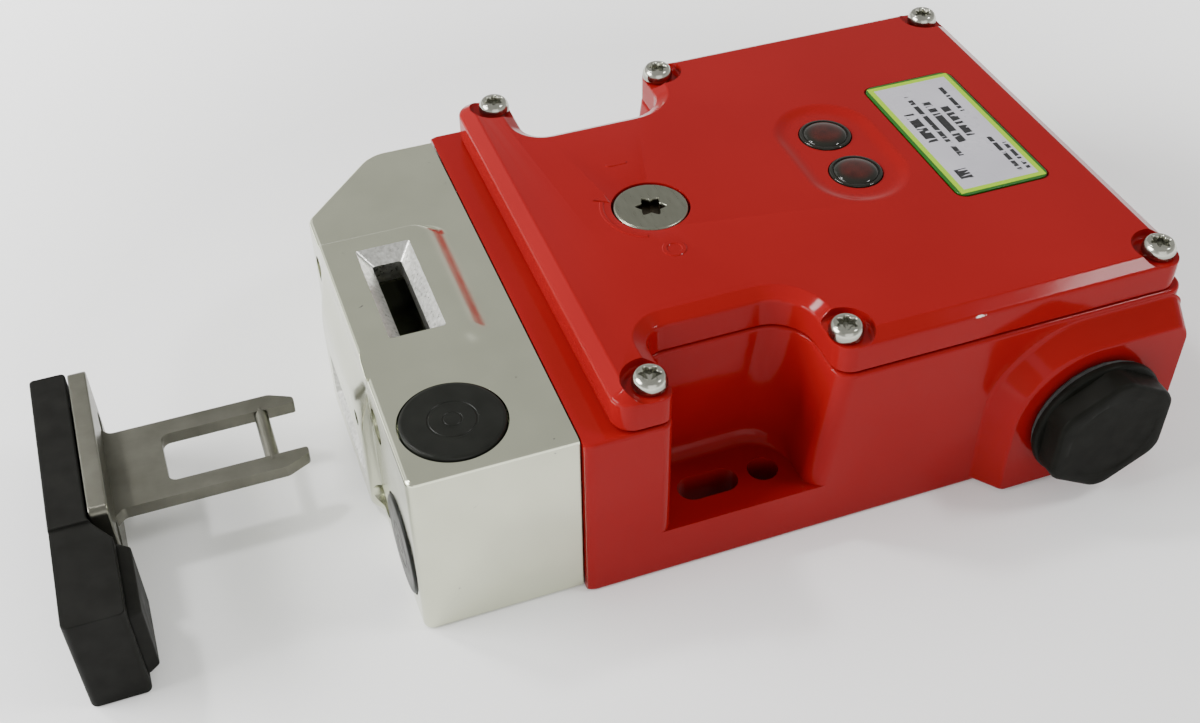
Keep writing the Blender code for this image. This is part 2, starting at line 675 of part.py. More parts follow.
def front_pad():
    """Field round the front entry, which swells out of the front face below the top edge."""
    high = HEAD_HEIGHT - 0.2
    rings = []
    for t in (0.0, 0.0, 0.18, 0.36, 0.5, 0.64, 0.82, 1.0):
        x = HEAD_FRONT - FRONT_PAD_HEIGHT * (1 - math.cos(math.pi * t)) / 2 if rings else HEAD_FRONT + 3.0
        out = 1 - t
        low = 0.9 + 0.9 * t
        crown = high - (high - FRONT_PAD_SHOULDER) * t
        near, far = PAD_NEAR - PAD_SLOPE * out, PAD_FAR + PAD_SLOPE * out
        corners = [(near, low, 2.0), (far, low, 2.0), (far, crown, 2.0 + 4 * t), (near, crown, 2.0 + 4 * t)]
        rings.append(lifted(rounded(corners), "X", x))
    return loft(rings)


def key_entry(name, axis, centre, face, inward):
    """Tapered mouth and slot for the key, cut into the pad from its face."""
    def ring(grow, level):
        grown_y = SLOT_HALF_WIDTH + grow
        grown_h = SLOT_HALF_HEIGHT + grow
        if axis == "X":
            corners = box_corners(-grown_y, grown_y, centre - grown_h, centre + grown_h, 0.5)
        else:
            corners = box_corners(centre - grown_h, centre + grown_h, -grown_y, grown_y, 0.5)
        return lifted(rounded(corners, steps=3), axis, level)
    slope = FUNNEL_SLOPE / FUNNEL_DEPTH
    rings = [ring(FUNNEL_SLOPE + slope, face - inward), ring(0.0, face + inward * FUNNEL_DEPTH),
             ring(0.0, face + inward * (PAD_HEIGHT + CAVITY_FRONT + 0.5))]
    return place(name, loft(rings))


def head_casting(look):
    head = place("head_casting", softened(head_corners(), "Z", 0.0, HEAD_HEIGHT, 0.9), look)
    join(head, place("pad_top", top_pad()), place("pad_front", front_pad()))
    room = box_corners(-CAVITY_HALF_WIDTH, CAVITY_HALF_WIDTH, CAVITY_BOTTOM, CAVITY_TOP, 1.5)
    cut(head, place("cam_room", prism(rounded(room), "X", HEAD_FRONT + CAVITY_FRONT, HEAD_REAR + 1)))
    cut(head, key_entry("front_entry", "X", ENTRY_Z, HEAD_FRONT - FRONT_PAD_HEIGHT, 1))
    cut(head, key_entry("top_entry", "Z", ENTRY_X, HEAD_HEIGHT + PAD_HEIGHT, -1))
    cut(head, hole("axle_bore", "Y", AXLE_RADIUS + GAP, -AXLE_HALF_LENGTH - GAP, AXLE_HALF_LENGTH + GAP,
                   CAM_X, CAM_Z, 20))
    depth = CAP_THICKNESS + COIL_THICKNESS + 3 * GAP - CAP_PROUD
    cut(head, hole("top_cap_seat", "Z", CAP_RADIUS + GAP, HEAD_HEIGHT - depth, HEAD_HEIGHT + 1, ENTRY_X, CAP_Y))
    cut(head, hole("front_cap_seat", "X", CAP_RADIUS + GAP, HEAD_FRONT - 1, HEAD_FRONT + depth, CAP_Y, ENTRY_Z))
    for label, side in (("near", -1), ("far", 1)):
        for number, (y, z) in enumerate(HEAD_SCREWS):
            cut(head, hole(f"head_bore_{label}_{number}", "X", HEAD_SCREW_RADIUS + GAP, HEAD_FRONT, HEAD_REAR + 1,
                           side * y, z, 12))
            cut(head, hole(f"head_seat_{label}_{number}", "X", HEAD_SCREW_HEAD + GAP, HEAD_FRONT - PAD_HEIGHT - 1,
                           HEAD_FRONT + HEAD_SCREW_SEAT, side * y, z, 20))
    cut(head, hole("pin_hole", "X", PIN_HOLE_RADIUS, HEAD_FRONT - PAD_HEIGHT - 1, HEAD_FRONT + PIN_HOLE_DEPTH,
                   PIN_HOLE_Y, PIN_HOLE_Z, 16))
    cut(head, place("head_gasket_groove", seal_frame(SEAL_RING_MARGIN - GAP, SEAL_RING_MARGIN + GASKET_WIDTH + GAP,
                                                     HEAD_REAR - GASKET_HEIGHT - GAP, HEAD_REAR + 1)))
    return head


def seal_frame(inside, outside, low, high):
    """Frame round the cam room, between two margins and two x levels."""
    corners = box_corners(-CAVITY_HALF_WIDTH, CAVITY_HALF_WIDTH, CAVITY_BOTTOM, CAVITY_TOP, 1.5)
    outer = rounded(corners, -outside)
    inner = rounded(corners, -inside)
    return loft([lifted(outer, "X", low), lifted(outer, "X", high), lifted(inner, "X", high),
                 lifted(inner, "X", low)], closed=True)


def sensor_cap(name, axis, level, outward, a, b, look, coil_look):
    """Round cap flush in the head, domed a little and ringed, and the coil puck under it."""
    r = CAP_RADIUS
    stations = [(r, -CAP_THICKNESS), (r, 0.0), (r - 0.4, 0.5), (r * 0.48, CAP_PROUD), (r * 0.45, CAP_PROUD - 0.2),
                (r * 0.42, CAP_PROUD)]
    top = level + outward * (CAP_PROUD - 0.3)
    cap = turned([(radius, top + outward * (h - CAP_PROUD + 0.3)) for radius, h in stations], axis, a, b)
    place(name, cap, look)
    high = level + outward * (-CAP_THICKNESS - GAP)
    low = high - outward * COIL_THICKNESS
    puck = turned([(r - 0.8, low), (r - 0.8, high), (r * 0.3, high), (r * 0.3, high - outward * 1.0)], axis, a, b, 16)
    place(name.replace("cap", "coil"), puck, coil_look)


def star_cam(look, parent):
    """Four-armed wheel; with the key out, its arms point at the two key entries and the lock bolt."""
    inner = CAM_HUB * 1.02
    corners = []
    for arm in range(4):
        a = math.radians(90 * arm)
        along = Vector((math.cos(a), math.sin(a)))
        across = Vector((-math.sin(a), math.cos(a)))
        root = along * inner
        tip = along * CAM_REACH
        for point, radius in ((root - across * CAM_ARM_HALF, 0.7), (tip - across * CAM_ARM_HALF, 0.9),
                              (tip + across * CAM_ARM_HALF, 0.9), (root + across * CAM_ARM_HALF, 0.7)):
            corners.append((point.x + CAM_X, point.y + CAM_Z, radius))
        b = a + math.radians(45)
        corners.append((CAM_X + CAM_HUB * math.cos(b), CAM_Z + CAM_HUB * math.sin(b), 2.5))
    cam = place("cam_rotor", prism(rounded(corners, steps=2), "Y", -CAM_HALF_WIDTH, CAM_HALF_WIDTH), look,
                origin=(CAM_X, 0, CAM_Z), parent=parent)
    cut(cam, hole("cam_bore", "Y", AXLE_RADIUS + GAP, -CAM_HALF_WIDTH - 1, CAM_HALF_WIDTH + 1, CAM_X, CAM_Z, 20))


def cam_axle(look):
    r = AXLE_RADIUS
    place("cam_axle", turned([(r - 0.4, -AXLE_HALF_LENGTH), (r, -AXLE_HALF_LENGTH + 0.4),
                              (r, AXLE_HALF_LENGTH - 0.4), (r - 0.4, AXLE_HALF_LENGTH)], "Y", CAM_X, CAM_Z, 20), look)


def lock_bolt(look, parent):
    """Chisel nose through the front wall, a plate with the release window, and a fork for the plunger.

    The nose enters the gap that the turning cam opens to it, so it is thin where it meets the arms.
    The window leaves the release pin free wherever bolt and spindle stand.
    """
    nose_tip = CAM_X + CAM_REACH + BOLT_NOSE_GAP
    half = BOLT_SIZE / 2
    tip = box_corners(-half + 0.4, half - 0.4, CAM_Z - BOLT_NOSE_TIP_HALF, CAM_Z + BOLT_NOSE_TIP_HALF, 0.4)
    nose = box_corners(-half, half, CAM_Z - half, CAM_Z + half, 0.5)
    bolt = place("lock_bolt", loft([lifted(rounded(tip, 0.0, 2), "X", nose_tip),
                                    lifted(rounded(nose, 0.0, 2), "X", nose_tip + BOLT_NOSE_TAPER),
                                    lifted(rounded(nose, 0.0, 2), "X", BOLT_SHOULDER + 1)]), look,
                 origin=(nose_tip, 0, CAM_Z), parent=parent)
    plate = box_corners(BOLT_SHOULDER, BOLT_END, -BOLT_PLATE_HALF, BOLT_PLATE_HALF, 1.0)
    low = CAM_Z - BOLT_PLATE_HEIGHT / 2
    join(bolt, place("bolt_plate", prism(rounded(plate, steps=3), "Z", low, low + BOLT_PLATE_HEIGHT)))
    reach = RELEASE_THROW + RELEASE_PIN_RADIUS + GAP
    window = box_corners(RELEASE_X - reach, RELEASE_X + reach + BOLT_TRAVEL,
                         -reach, reach, 0.8)
    cut(bolt, place("release_window", prism(rounded(window, steps=3), "Z", low - 2, low + BOLT_PLATE_HEIGHT + 2)))
    neck = PLUNGER_NECK + SLIDE_GAP
    head = PLUNGER_RADIUS + SLIDE_GAP
    head_start = BOLT_END - 6.2
    head_end = BOLT_END - 3.0
    cut(bolt, place("plunger_head_room", prism(rounded(box_corners(head_start, head_end, -head, head, 0.4), steps=2),
                                               "Z", low - 2, low + BOLT_PLATE_HEIGHT + 2)))
    cut(bolt, place("plunger_neck_room", prism(rounded(box_corners(head_end - 0.5, BOLT_END + 1, -neck, neck, 0.2),
                                                       steps=2), "Z", low - 2, low + BOLT_PLATE_HEIGHT + 2)))
    r = PLUNGER_RADIUS
    profile = [(r - 0.5, head_start + GAP), (r, head_start + GAP + 0.5), (r, head_end - GAP),
               (PLUNGER_NECK, head_end - GAP), (PLUNGER_NECK, BOLT_END + GAP), (r, BOLT_END + GAP),
               (r, PLUNGER_END - 0.8), (r - 0.8, PLUNGER_END)]
    place("plunger", turned(profile, "X", 0.0, CAM_Z, 16), look, origin=(BOLT_END, 0, CAM_Z), parent=parent)


def solenoid(steel, plastic, copper):
    """Bent steel frame round a bobbin with its copper winding."""
    low = FLOOR + GAP
    end = FRAME_END
    t = FRAME_PLATE
    bend = [(FRAME_START, low, 2.0), (end, low, 2.0), (end, FRAME_TOP, 0.4), (end - t, FRAME_TOP, 0.4),
            (end - t, low + t, 0.5), (FRAME_START + t, low + t, 0.5), (FRAME_START + t, FRAME_TOP, 0.4),
            (FRAME_START, FRAME_TOP, 0.4)]
    frame = place("solenoid_frame", prism(rounded(bend, steps=3), "Y", -FRAME_HALF_WIDTH, FRAME_HALF_WIDTH), steel)
    cut(frame, hole("frame_bore", "X", PLUNGER_RADIUS + SLIDE_GAP, FRAME_START - 1, FRAME_START + t + 1, 0.0, CAM_Z, 24))
    a = FRAME_START + t + GAP
    b = end - t - GAP
    bore = PLUNGER_RADIUS + SLIDE_GAP
    stations = [(bore, a), (BOBBIN_RADIUS, a), (BOBBIN_RADIUS, a + BOBBIN_FLANGE), (BOBBIN_TUBE, a + BOBBIN_FLANGE),
                (BOBBIN_TUBE, b - BOBBIN_FLANGE), (BOBBIN_RADIUS, b - BOBBIN_FLANGE), (BOBBIN_RADIUS, b), (bore, b)]
    place("coil_bobbin", turned(stations, "X", 0.0, CAM_Z, 20, closed=True), plastic)
    inner = BOBBIN_TUBE + GAP
    c = a + BOBBIN_FLANGE + GAP
    d = b - BOBBIN_FLANGE - GAP
    place("coil_winding", turned([(inner, c), (WINDING_RADIUS - 0.5, c), (WINDING_RADIUS, c + 0.5),
                                  (WINDING_RADIUS, d - 0.5), (WINDING_RADIUS - 0.5, d), (inner, d)],
                                 "X", 0.0, CAM_Z, 20, closed=True), copper)


def return_spring(look):
    """Helix round the plunger, between the bolt's end and the solenoid frame."""
    start = BOLT_END + GAP + SPRING_WIRE
    end = FRAME_START - GAP - SPRING_WIRE
    per_turn = 10
    sides = 5
    rings = []
    count = SPRING_TURNS * per_turn
    for k in range(count + 1):
        a = math.tau * k / per_turn
        centre = Vector((start + (end - start) * k / count, SPRING_RADIUS * math.cos(a),
                         CAM_Z + SPRING_RADIUS * math.sin(a)))
        out = Vector((0.0, math.cos(a), math.sin(a)))
        rings.append([centre + out * SPRING_WIRE * math.cos(math.tau * s / sides)
                      + Vector((1, 0, 0)) * SPRING_WIRE * math.sin(math.tau * s / sides) for s in range(sides)])
    place("return_spring", loft(rings), look)


def release_spindle(look, seal_look, parent):
    """Star-slotted disc, shaft and eccentric pin in one; a seal ring sits in the lid's boss."""
    steps = SCREW_STEPS
    pin_x = RELEASE_X - RELEASE_THROW
    pin_low = CAM_Z - BOLT_PLATE_HEIGHT / 2 - 0.6
    shaft_low = CAM_Z + BOLT_PLATE_HEIGHT / 2 + SLIDE_GAP
    seat = LID_TOP - RELEASE_HEAD
    r = RELEASE_RADIUS
    rings = [lifted(circle(RELEASE_PIN_RADIUS, pin_x, 0, steps), "Z", pin_low),
             lifted(circle(RELEASE_PIN_RADIUS, pin_x, 0, steps), "Z", shaft_low)]
    for radius, z in ((RELEASE_SHAFT, shaft_low), (RELEASE_SHAFT, seat), (r, seat), (r, LID_TOP - 0.25),
                      (r - 0.3, LID_TOP)):
        rings.append(lifted(circle(radius, RELEASE_X, 0, steps), "Z", z))
    star = lobed(STAR_RADIUS, STAR_WAVE, 6, RELEASE_X, 0)
    rings.append(lifted(star, "Z", LID_TOP))
    rings.append(lifted(star, "Z", LID_TOP - STAR_DEPTH))
    place("release_spindle", loft(rings), look, origin=(RELEASE_X, 0, LID_TOP), parent=parent)
    ring = []
    for k in range(6):
        a = math.tau * k / 6
        ring.append((RELEASE_SHAFT + GAP + 0.65 + 0.6 * math.cos(a), SEAL_Z + 0.6 * math.sin(a)))
    place("release_seal", turned(ring, "Z", RELEASE_X, 0.0, 20, closed=True), seal_look)


def lamps(lens_look, board_look, lamp_look):
    top = BOARD_BOTTOM + BOARD_THICKNESS
    board = box_corners(LAMP_X - BOARD_LENGTH / 2, LAMP_X + BOARD_LENGTH / 2, LAMP_Y - BOARD_WIDTH / 2,
                        LAMP_Y + BOARD_WIDTH / 2, 1.0)
    place("lamp_board", prism(rounded(board, steps=2), "Z", BOARD_BOTTOM, top), board_look)
    r = LAMP_RADIUS
    for number, (x, y) in enumerate(lamp_places(), 1):
        dish = LID_TOP - DISH_DEPTH
        lens = [(r, LID_CEILING), (r, dish + 0.3), (r * 0.85, dish + 0.3), (r * 0.55, dish + 0.75),
                (r * 0.25, dish + 1.0)]
        place(f"lamp_lens_{number}", turned(lens, "Z", x, y, 20), lens_look)
        bulb = [(2.6, top + GAP), (2.6, top + 1.2), (2.3, top + 1.2), (2.3, top + 2.4), (1.4, top + 3.9)]
        place(f"lamp_{number}", turned(bulb, "Z", x, y, 12), lamp_look)


def label_plate(look):
    plate = box_corners(LABEL_X - LABEL_LENGTH / 2, LABEL_X + LABEL_LENGTH / 2, LABEL_Y - LABEL_WIDTH / 2,
                        LABEL_Y + LABEL_WIDTH / 2, 1.8)
    low = LID_TOP - LABEL_RECESS + GAP
    place("label_plate", prism(rounded(plate), "Z", low, low + LABEL_THICKNESS), look)


def conduit_plug(label, side, look, washer_look):
    """Hexagon-headed blanking plug with its sealing washer, along Y."""
    face = BODY_WIDTH / 2 + BOSS_HEIGHT
    seat = face + GAP + WASHER_THICKNESS + GAP
    r = PLUG_FLANGE_RADIUS
    profile = [(THREAD_RADIUS - 0.8, face - THREAD_LENGTH), (THREAD_RADIUS, face - THREAD_LENGTH + 0.8),
               (THREAD_RADIUS, seat), (r - 0.3, seat),
               (r, seat + 0.3), (r, seat + PLUG_FLANGE - 0.4), (r - 0.4, seat + PLUG_FLANGE)]
    rings = [lifted(circle(radius, BOSS_X, BOSS_Z), "Y", side * y) for radius, y in profile]
    top = seat + PLUG_FLANGE + PLUG_HEX_HEIGHT
    for across, y in ((PLUG_ACROSS_FLATS, seat + PLUG_FLANGE), (PLUG_ACROSS_FLATS, top - 0.5),
                      (PLUG_ACROSS_FLATS - 1.1, top)):
        rings.append(lifted(hexagon(across, BOSS_X, BOSS_Z), "Y", side * y))
    place(f"conduit_plug_{label}", loft(rings), look)
    inner = THREAD_RADIUS + GAP
    low = face + GAP
    ring = [(inner, low), (r - 0.9, low), (r - 0.5, low + WASHER_THICKNESS / 2), (r - 0.9, low + WASHER_THICKNESS),
            (inner, low + WASHER_THICKNESS)]
    place(f"plug_washer_{label}", turned([(radius, side * y) for radius, y in ring], "Y", BOSS_X, BOSS_Z,
                                         closed=True), washer_look)


def contact_blocks(look):
    """Two switch blocks beside the bolt plate, each stepped down towards its outer side."""
    low = FLOOR + GAP
    for label, side in (("near", -1), ("far", 1)):
        inner = CONTACT_INNER
        outer = inner + CONTACT_WIDTH
        shelf = inner + CONTACT_WIDTH * CONTACT_STEP_SHARE
        step = [(inner, low, 0.6), (outer, low, 0.6), (outer, low + CONTACT_HEIGHT * 0.62, 0.6),
                (shelf, low + CONTACT_HEIGHT * 0.62, 0.6), (shelf, low + CONTACT_HEIGHT, 0.6),
                (inner, low + CONTACT_HEIGHT, 0.6)]
        points = [(side * y, z) for y, z in rounded(step, steps=2)]
        place(f"contact_block_{label}", prism(points, "X", CONTACT_START, CONTACT_START + CONTACT_LENGTH), look)


def terminals(plastic, brass):
    """Comb-shaped terminal block across the rear wall, with a clamp screw in each bay."""
    low = FLOOR + GAP
    x1 = BODY_REAR - WALL - GAP
    x0 = x1 - TERMINAL_LENGTH
    pitch = TERMINAL_WIDTH / TERMINAL_COUNT
    top = low + TERMINAL_HEIGHT
    comb = [(-TERMINAL_WIDTH / 2, low), (TERMINAL_WIDTH / 2, low)]
    for k in range(TERMINAL_COUNT):
        right = TERMINAL_WIDTH / 2 - k * pitch
        comb += [(right, top), (right - 1.2, top), (right - 1.2, top - 2.6), (right - pitch + 1.2, top - 2.6),
                 (right - pitch + 1.2, top)]
    comb.append((-TERMINAL_WIDTH / 2, top))
    place("terminal_block", prism(comb, "X", x0, x1), plastic)
    seat = top - 2.6 + GAP
    x = (x0 + x1) / 2
    first = None
    for k in range(TERMINAL_COUNT):
        y = -TERMINAL_WIDTH / 2 + pitch * (k + 0.5)
        if first is None:
            first = place("terminal_screw_1", turned([(2.4, seat), (2.4, seat + 1.2), (1.9, seat + 1.7)], "Z", x, y, 16),
                          brass, origin=(x, y, seat))
        else:
            copy_at(f"terminal_screw_{k + 1}", first, (0, pitch * k, 0))


def actuator_key(look, parent):
    """Fork-shaped tongue standing out of the middle of a drilled plate."""
    plate = box_corners(-KEY_PLATE_HALF, KEY_PLATE_HALF, 0.0, KEY_PLATE_HEIGHT, 1.4)
    key = place("actuator_key", softened(plate, "X", KEY_BACK_X, KEY_FACE_X, 0.35, 2), look,
                origin=(KEY_TIP_X, 0, ENTRY_Z), parent=parent)
    w = KEY_HALF_WIDTH
    taper = KEY_TIP_X - KEY_TIP_TAPER
    back = KEY_BACK_X + 1.0
    window = KEY_TIP_X - KEY_WINDOW_LENGTH
    f = KEY_FILLET
    near = [(back, -w - f, 0.2), (KEY_FACE_X + 0.1, -w - f, 0.2), (KEY_FACE_X + f, -w, f), (taper, -w, 2.0),
            (KEY_TIP_X, -KEY_TIP_HALF, 0.9), (KEY_TIP_X, -KEY_WINDOW_HALF, 0.5)]
    fork = near + [(window, -KEY_WINDOW_HALF, 1.4)] + [(x, -y, r) for x, y, r in
                                                      reversed(near + [(window, -KEY_WINDOW_HALF, 1.4)])]
    low = ENTRY_Z - KEY_THICKNESS / 2
    high = low + KEY_THICKNESS
    edge = 0.3
    join(key, place("key_tongue", loft([lifted(rounded(fork, edge, 3), "Z", low),
                                        lifted(rounded(fork, 0.0, 3), "Z", low + edge),
                                        lifted(rounded(fork, 0.0, 3), "Z", high - edge),
                                        lifted(rounded(fork, edge, 3), "Z", high)])))
    for label, side in (("near", -1), ("far", 1)):
        cut(key, hole(f"key_hole_{label}", "X", KEY_HOLE_RADIUS, KEY_BACK_X - 1, KEY_FACE_X + 1,
                      side * KEY_HOLE_Y, ENTRY_Z, 20))
    bar = KEY_WINDOW_HALF - GAP
    place("key_crossbar", turned([(CROSSBAR_RADIUS, -bar), (CROSSBAR_RADIUS, bar)], "Y", CROSSBAR_X, ENTRY_Z, 16), look,
          origin=(CROSSBAR_X, 0, ENTRY_Z), parent=parent)


def tag_holder(look, tag_look, parent):
    """Black moulding behind the key's plate; its near end is thick and carries the coded tag."""
    near_end = -HOLDER_NEAR_END
    shoulder = -KEY_PLATE_HALF - GAP
    outline = [(HOLDER_BACK_X, near_end, 1.2), (KEY_FACE_X, near_end, 1.0),
               (KEY_FACE_X, shoulder - HOLDER_SHOULDER, 0.6), (HOLDER_FACE_X, shoulder - 0.2, 0.4),
               (HOLDER_FACE_X, KEY_PLATE_HALF, 0.8), (HOLDER_BACK_X, KEY_PLATE_HALF, 0.8)]
    holder = place("tag_holder", softened(outline, "Z", 0.0, KEY_PLATE_HEIGHT, 0.35, 2), look,
                   origin=(HOLDER_BACK_X, 0, ENTRY_Z), parent=parent)
    top = KEY_PLATE_HEIGHT - HOLDER_STEP
    step = box_corners(HOLDER_BACK_X - 2, KEY_FACE_X + 2, near_end - 2, shoulder - 1.0, 0.5)
    cut(holder, place("holder_step", prism(rounded(step, steps=2), "Z", top, KEY_PLATE_HEIGHT + 2)))
    for label, side in (("near", -1), ("far", 1)):
        cut(holder, hole(f"holder_hole_{label}", "X", KEY_HOLE_RADIUS, HOLDER_BACK_X - 1, HOLDER_FACE_X + 1,
                         side * KEY_HOLE_Y, ENTRY_Z, 20))
    a = TAG_Y - TAG_LENGTH / 2
    b = TAG_Y + TAG_LENGTH / 2
    c = ENTRY_Z - TAG_HEIGHT / 2 - HOLDER_STEP / 2
    d = ENTRY_Z + TAG_HEIGHT / 2 - HOLDER_STEP / 2
    seat = box_corners(a - GAP, b + GAP, c - GAP, d + GAP, 1.5)
    cut(holder, place("tag_seat", prism(rounded(seat, steps=3), "X", KEY_FACE_X - TAG_DEPTH - GAP, KEY_FACE_X + 2)))
    tag = box_corners(a, b, c, d, 1.4)
    out = KEY_FACE_X + TAG_PROUD
    place("coded_tag", loft([lifted(rounded(tag, 0.0, 3), "X", KEY_FACE_X - TAG_DEPTH),
                             lifted(rounded(tag, 0.0, 3), "X", KEY_FACE_X + 0.1),
                             lifted(rounded(tag, 1.0, 3), "X", out)]), tag_look,
          origin=(out, TAG_Y, ENTRY_Z), parent=parent)


def build():
    for obj in list(bpy.data.objects):
        bpy.data.objects.remove(obj)
    red = material("red_enamel", (0.40, 0.018, 0.014), 0.0, 0.18)
    cast = material("bright_cast_metal", (0.50, 0.51, 0.46), 1.0, 0.32)
    steel = material("stainless", (0.55, 0.55, 0.52), 1.0, 0.25)
    tool_steel = material("key_steel", (0.24, 0.24, 0.21), 1.0, 0.38)
    black = material("black_moulding", (0.018, 0.016, 0.017), 0.0, 0.45)
    grey = material("grey_moulding", (0.10, 0.10, 0.11), 0.0, 0.5)
    rubber = material("seal_rubber", (0.02, 0.02, 0.02), 0.0, 0.7)
    smoke = material("smoky_lens", (0.09, 0.012, 0.012), 0.0, 0.08)
    lamp = material("lamp_epoxy", (0.6, 0.05, 0.03), 0.0, 0.2)
    board = material("board_green", (0.02, 0.14, 0.05), 0.0, 0.4)
    paper = material("label_face", (0.55, 0.53, 0.58), 0.0, 0.4)
    copper = material("copper_wire", (0.55, 0.20, 0.08), 1.0, 0.35)
    brass = material("brass", (0.62, 0.42, 0.14), 1.0, 0.3)
    key_axis = axis_empty("key_slide_axis", (KEY_TIP_X, 0, ENTRY_Z))
    cam_axis = axis_empty("cam_turn_axis", (CAM_X, 0, CAM_Z))
    bolt_axis = axis_empty("bolt_slide_axis", (CAM_X + CAM_REACH, 0, CAM_Z))
    release_axis = axis_empty("release_turn_axis", (RELEASE_X, 0, LID_TOP))

    body_casting(red)
    lid_cover(red)
    lid_gasket(rubber)
    first = pan_screw("lid_screw_1", steel)
    number = 2
    for side in (-1, 1):
        for x in SCREW_X:
            if (side, x) != (-1, SCREW_X[0]):
                offset = (x - SCREW_X[0], (side + 1) * SCREW_Y, 0)
                copy_at(f"lid_screw_{number}", first, offset)
                number += 1
    head_casting(cast)
    place("head_gasket", seal_frame(SEAL_RING_MARGIN, SEAL_RING_MARGIN + GASKET_WIDTH,
                                    HEAD_REAR - GASKET_HEIGHT, HEAD_REAR), rubber)
    lower, upper = HEAD_SCREWS
    near_lower = socket_screw("head_screw_1", steel, -lower[0], lower[1])
    near_upper = copy_at("head_screw_2", near_lower, (0, lower[0] - upper[0], upper[1] - lower[1]))
    copy_at("head_screw_3", near_lower, (0, 2 * lower[0], 0))
    copy_at("head_screw_4", near_upper, (0, 2 * upper[0], 0))
    sensor_cap("top_sensor_cap", "Z", HEAD_HEIGHT, 1, ENTRY_X, CAP_Y, black, grey)
    sensor_cap("front_sensor_cap", "X", HEAD_FRONT, -1, CAP_Y, ENTRY_Z, black, grey)
    star_cam(steel, cam_axis)
    cam_axle(steel)
    lock_bolt(steel, bolt_axis)
    solenoid(cast, black, copper)
    return_spring(steel)
    release_spindle(steel, rubber, release_axis)
    lamps(smoke, board, lamp)
    label_plate(paper)
    conduit_plug("near", -1, black, rubber)
    conduit_plug("far", 1, black, rubber)
    contact_blocks(grey)
    terminals(grey, brass)
    actuator_key(tool_steel, key_axis)
    tag_holder(black, grey, key_axis)


build()
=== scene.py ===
"""Looks of the solenoid interlock switch and its key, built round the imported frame.

Lengths are in millimetres in the frame's own axes: +X runs from the head to the cable end, +Z up,
and the origin is on the underside, midway between the two round fixing holes.
"""

import math

import bmesh
import bpy
from mathutils import Matrix, Vector


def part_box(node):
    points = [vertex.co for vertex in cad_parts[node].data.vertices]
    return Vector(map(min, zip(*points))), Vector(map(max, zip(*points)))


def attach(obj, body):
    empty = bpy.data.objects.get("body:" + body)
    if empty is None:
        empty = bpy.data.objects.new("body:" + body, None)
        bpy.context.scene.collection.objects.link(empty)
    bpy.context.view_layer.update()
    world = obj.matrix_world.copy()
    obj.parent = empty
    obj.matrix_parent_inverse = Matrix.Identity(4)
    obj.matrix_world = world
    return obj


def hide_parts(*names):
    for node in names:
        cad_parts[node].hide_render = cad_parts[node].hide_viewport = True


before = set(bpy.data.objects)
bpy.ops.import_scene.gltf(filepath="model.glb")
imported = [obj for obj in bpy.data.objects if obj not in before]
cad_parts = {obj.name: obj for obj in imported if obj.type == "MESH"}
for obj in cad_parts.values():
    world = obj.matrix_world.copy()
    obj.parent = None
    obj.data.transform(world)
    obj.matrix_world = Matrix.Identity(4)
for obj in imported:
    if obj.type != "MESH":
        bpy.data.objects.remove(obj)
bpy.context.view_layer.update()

MM = 0.001
FINE = 10
ROUND = 96

# Body
JOINT_X = -34.1
BODY_REAR = 73.1
BODY_HALF = 44.2
BODY_HEIGHT = 34.3
FOOT_HEIGHT = 10.0
FLOOR = 3.0
WALL = 3.6
FRONT_WALL = 7.5
EDGE_ROUND = 0.7
CORNER_ROUND = 3.2
POCKET_FRONT = -19.3
POCKET_REAR = 5.1
POCKET_INNER = 28.4
POCKET_FLARE = 3.0
POCKET_FILLET = 2.6
FIXING_Y = 36.9
FIXING_RADIUS = 2.65
SLOT_X = -10.1
SLOT_LENGTH = 10.7
POCKET_ROUNDS = (2.2, 4.2, 7.0, 3.4)
HOLLOW_ROUND = 2.0
HOLLOW_TURN = 2.6
SPARE = 1.5
EDGE_BREAK = 0.4

# Conduit bosses and plugs
BOSS_X = 55.4
BOSS_Z = 15.5
BOSS_HEIGHT = 4.3
BOSS_RADIUS = 14.3
BOSS_SLOPE = 4.1
THREAD_RADIUS = 9.8
THREAD_LENGTH = 9.2
FLANGE_RADIUS = 12.1
FLANGE = 1.4
HEX_FLATS = 21.6
HEX_HEIGHT = 4.2
WASHER = 1.0
GAP = 0.3

# Lid
LID_BOTTOM = 34.6
LID_TOP = 41.3
LID_CEILING = 38.3
LID_FRONT = -28.9
LID_REAR = 71.9
LID_HALF = 43.9
CHAMFER_WIDTH = 2.4
CHAMFER_HEIGHT = 1.4
SCREW_X = (-22.2, 10.8, 68.5)
SCREW_Y = 40.0
SCREW_RADIUS = 1.5
SCREW_LENGTH = 12.0
HEAD_RADIUS = 2.85
HEAD_HIGH = 2.2
SEAT_RADIUS = 4.6
SEAT_DEPTH = 1.6
RELEASE_X = -6.3
RELEASE_RADIUS = 6.55
LAMP_X = 31.6
LAMP_Y = (-2.8, 9.4)
LAMP_RADIUS = 4.6
DISH_RADIUS = 9.0
DISH_DEPTH = 0.6
LABEL = (44.5, 62.5, -16.7, 19.7)
LABEL_RECESS = 0.5
CHIP = (32.2, -44.1, 39.9)

# Manual release
DISC_SEAT = 2.5
RELEASE_BOSS = 7.6
SHAFT_HOLE = 3.3
SHAFT_RADIUS = 3.0
SHAFT_LOW = 20.35
PIN_OFFSET = 1.6
PIN_RADIUS = 1.3
STAR = (1.75, 2.75)
STAR_POINTS = 6
MARK_RISE = 0.12

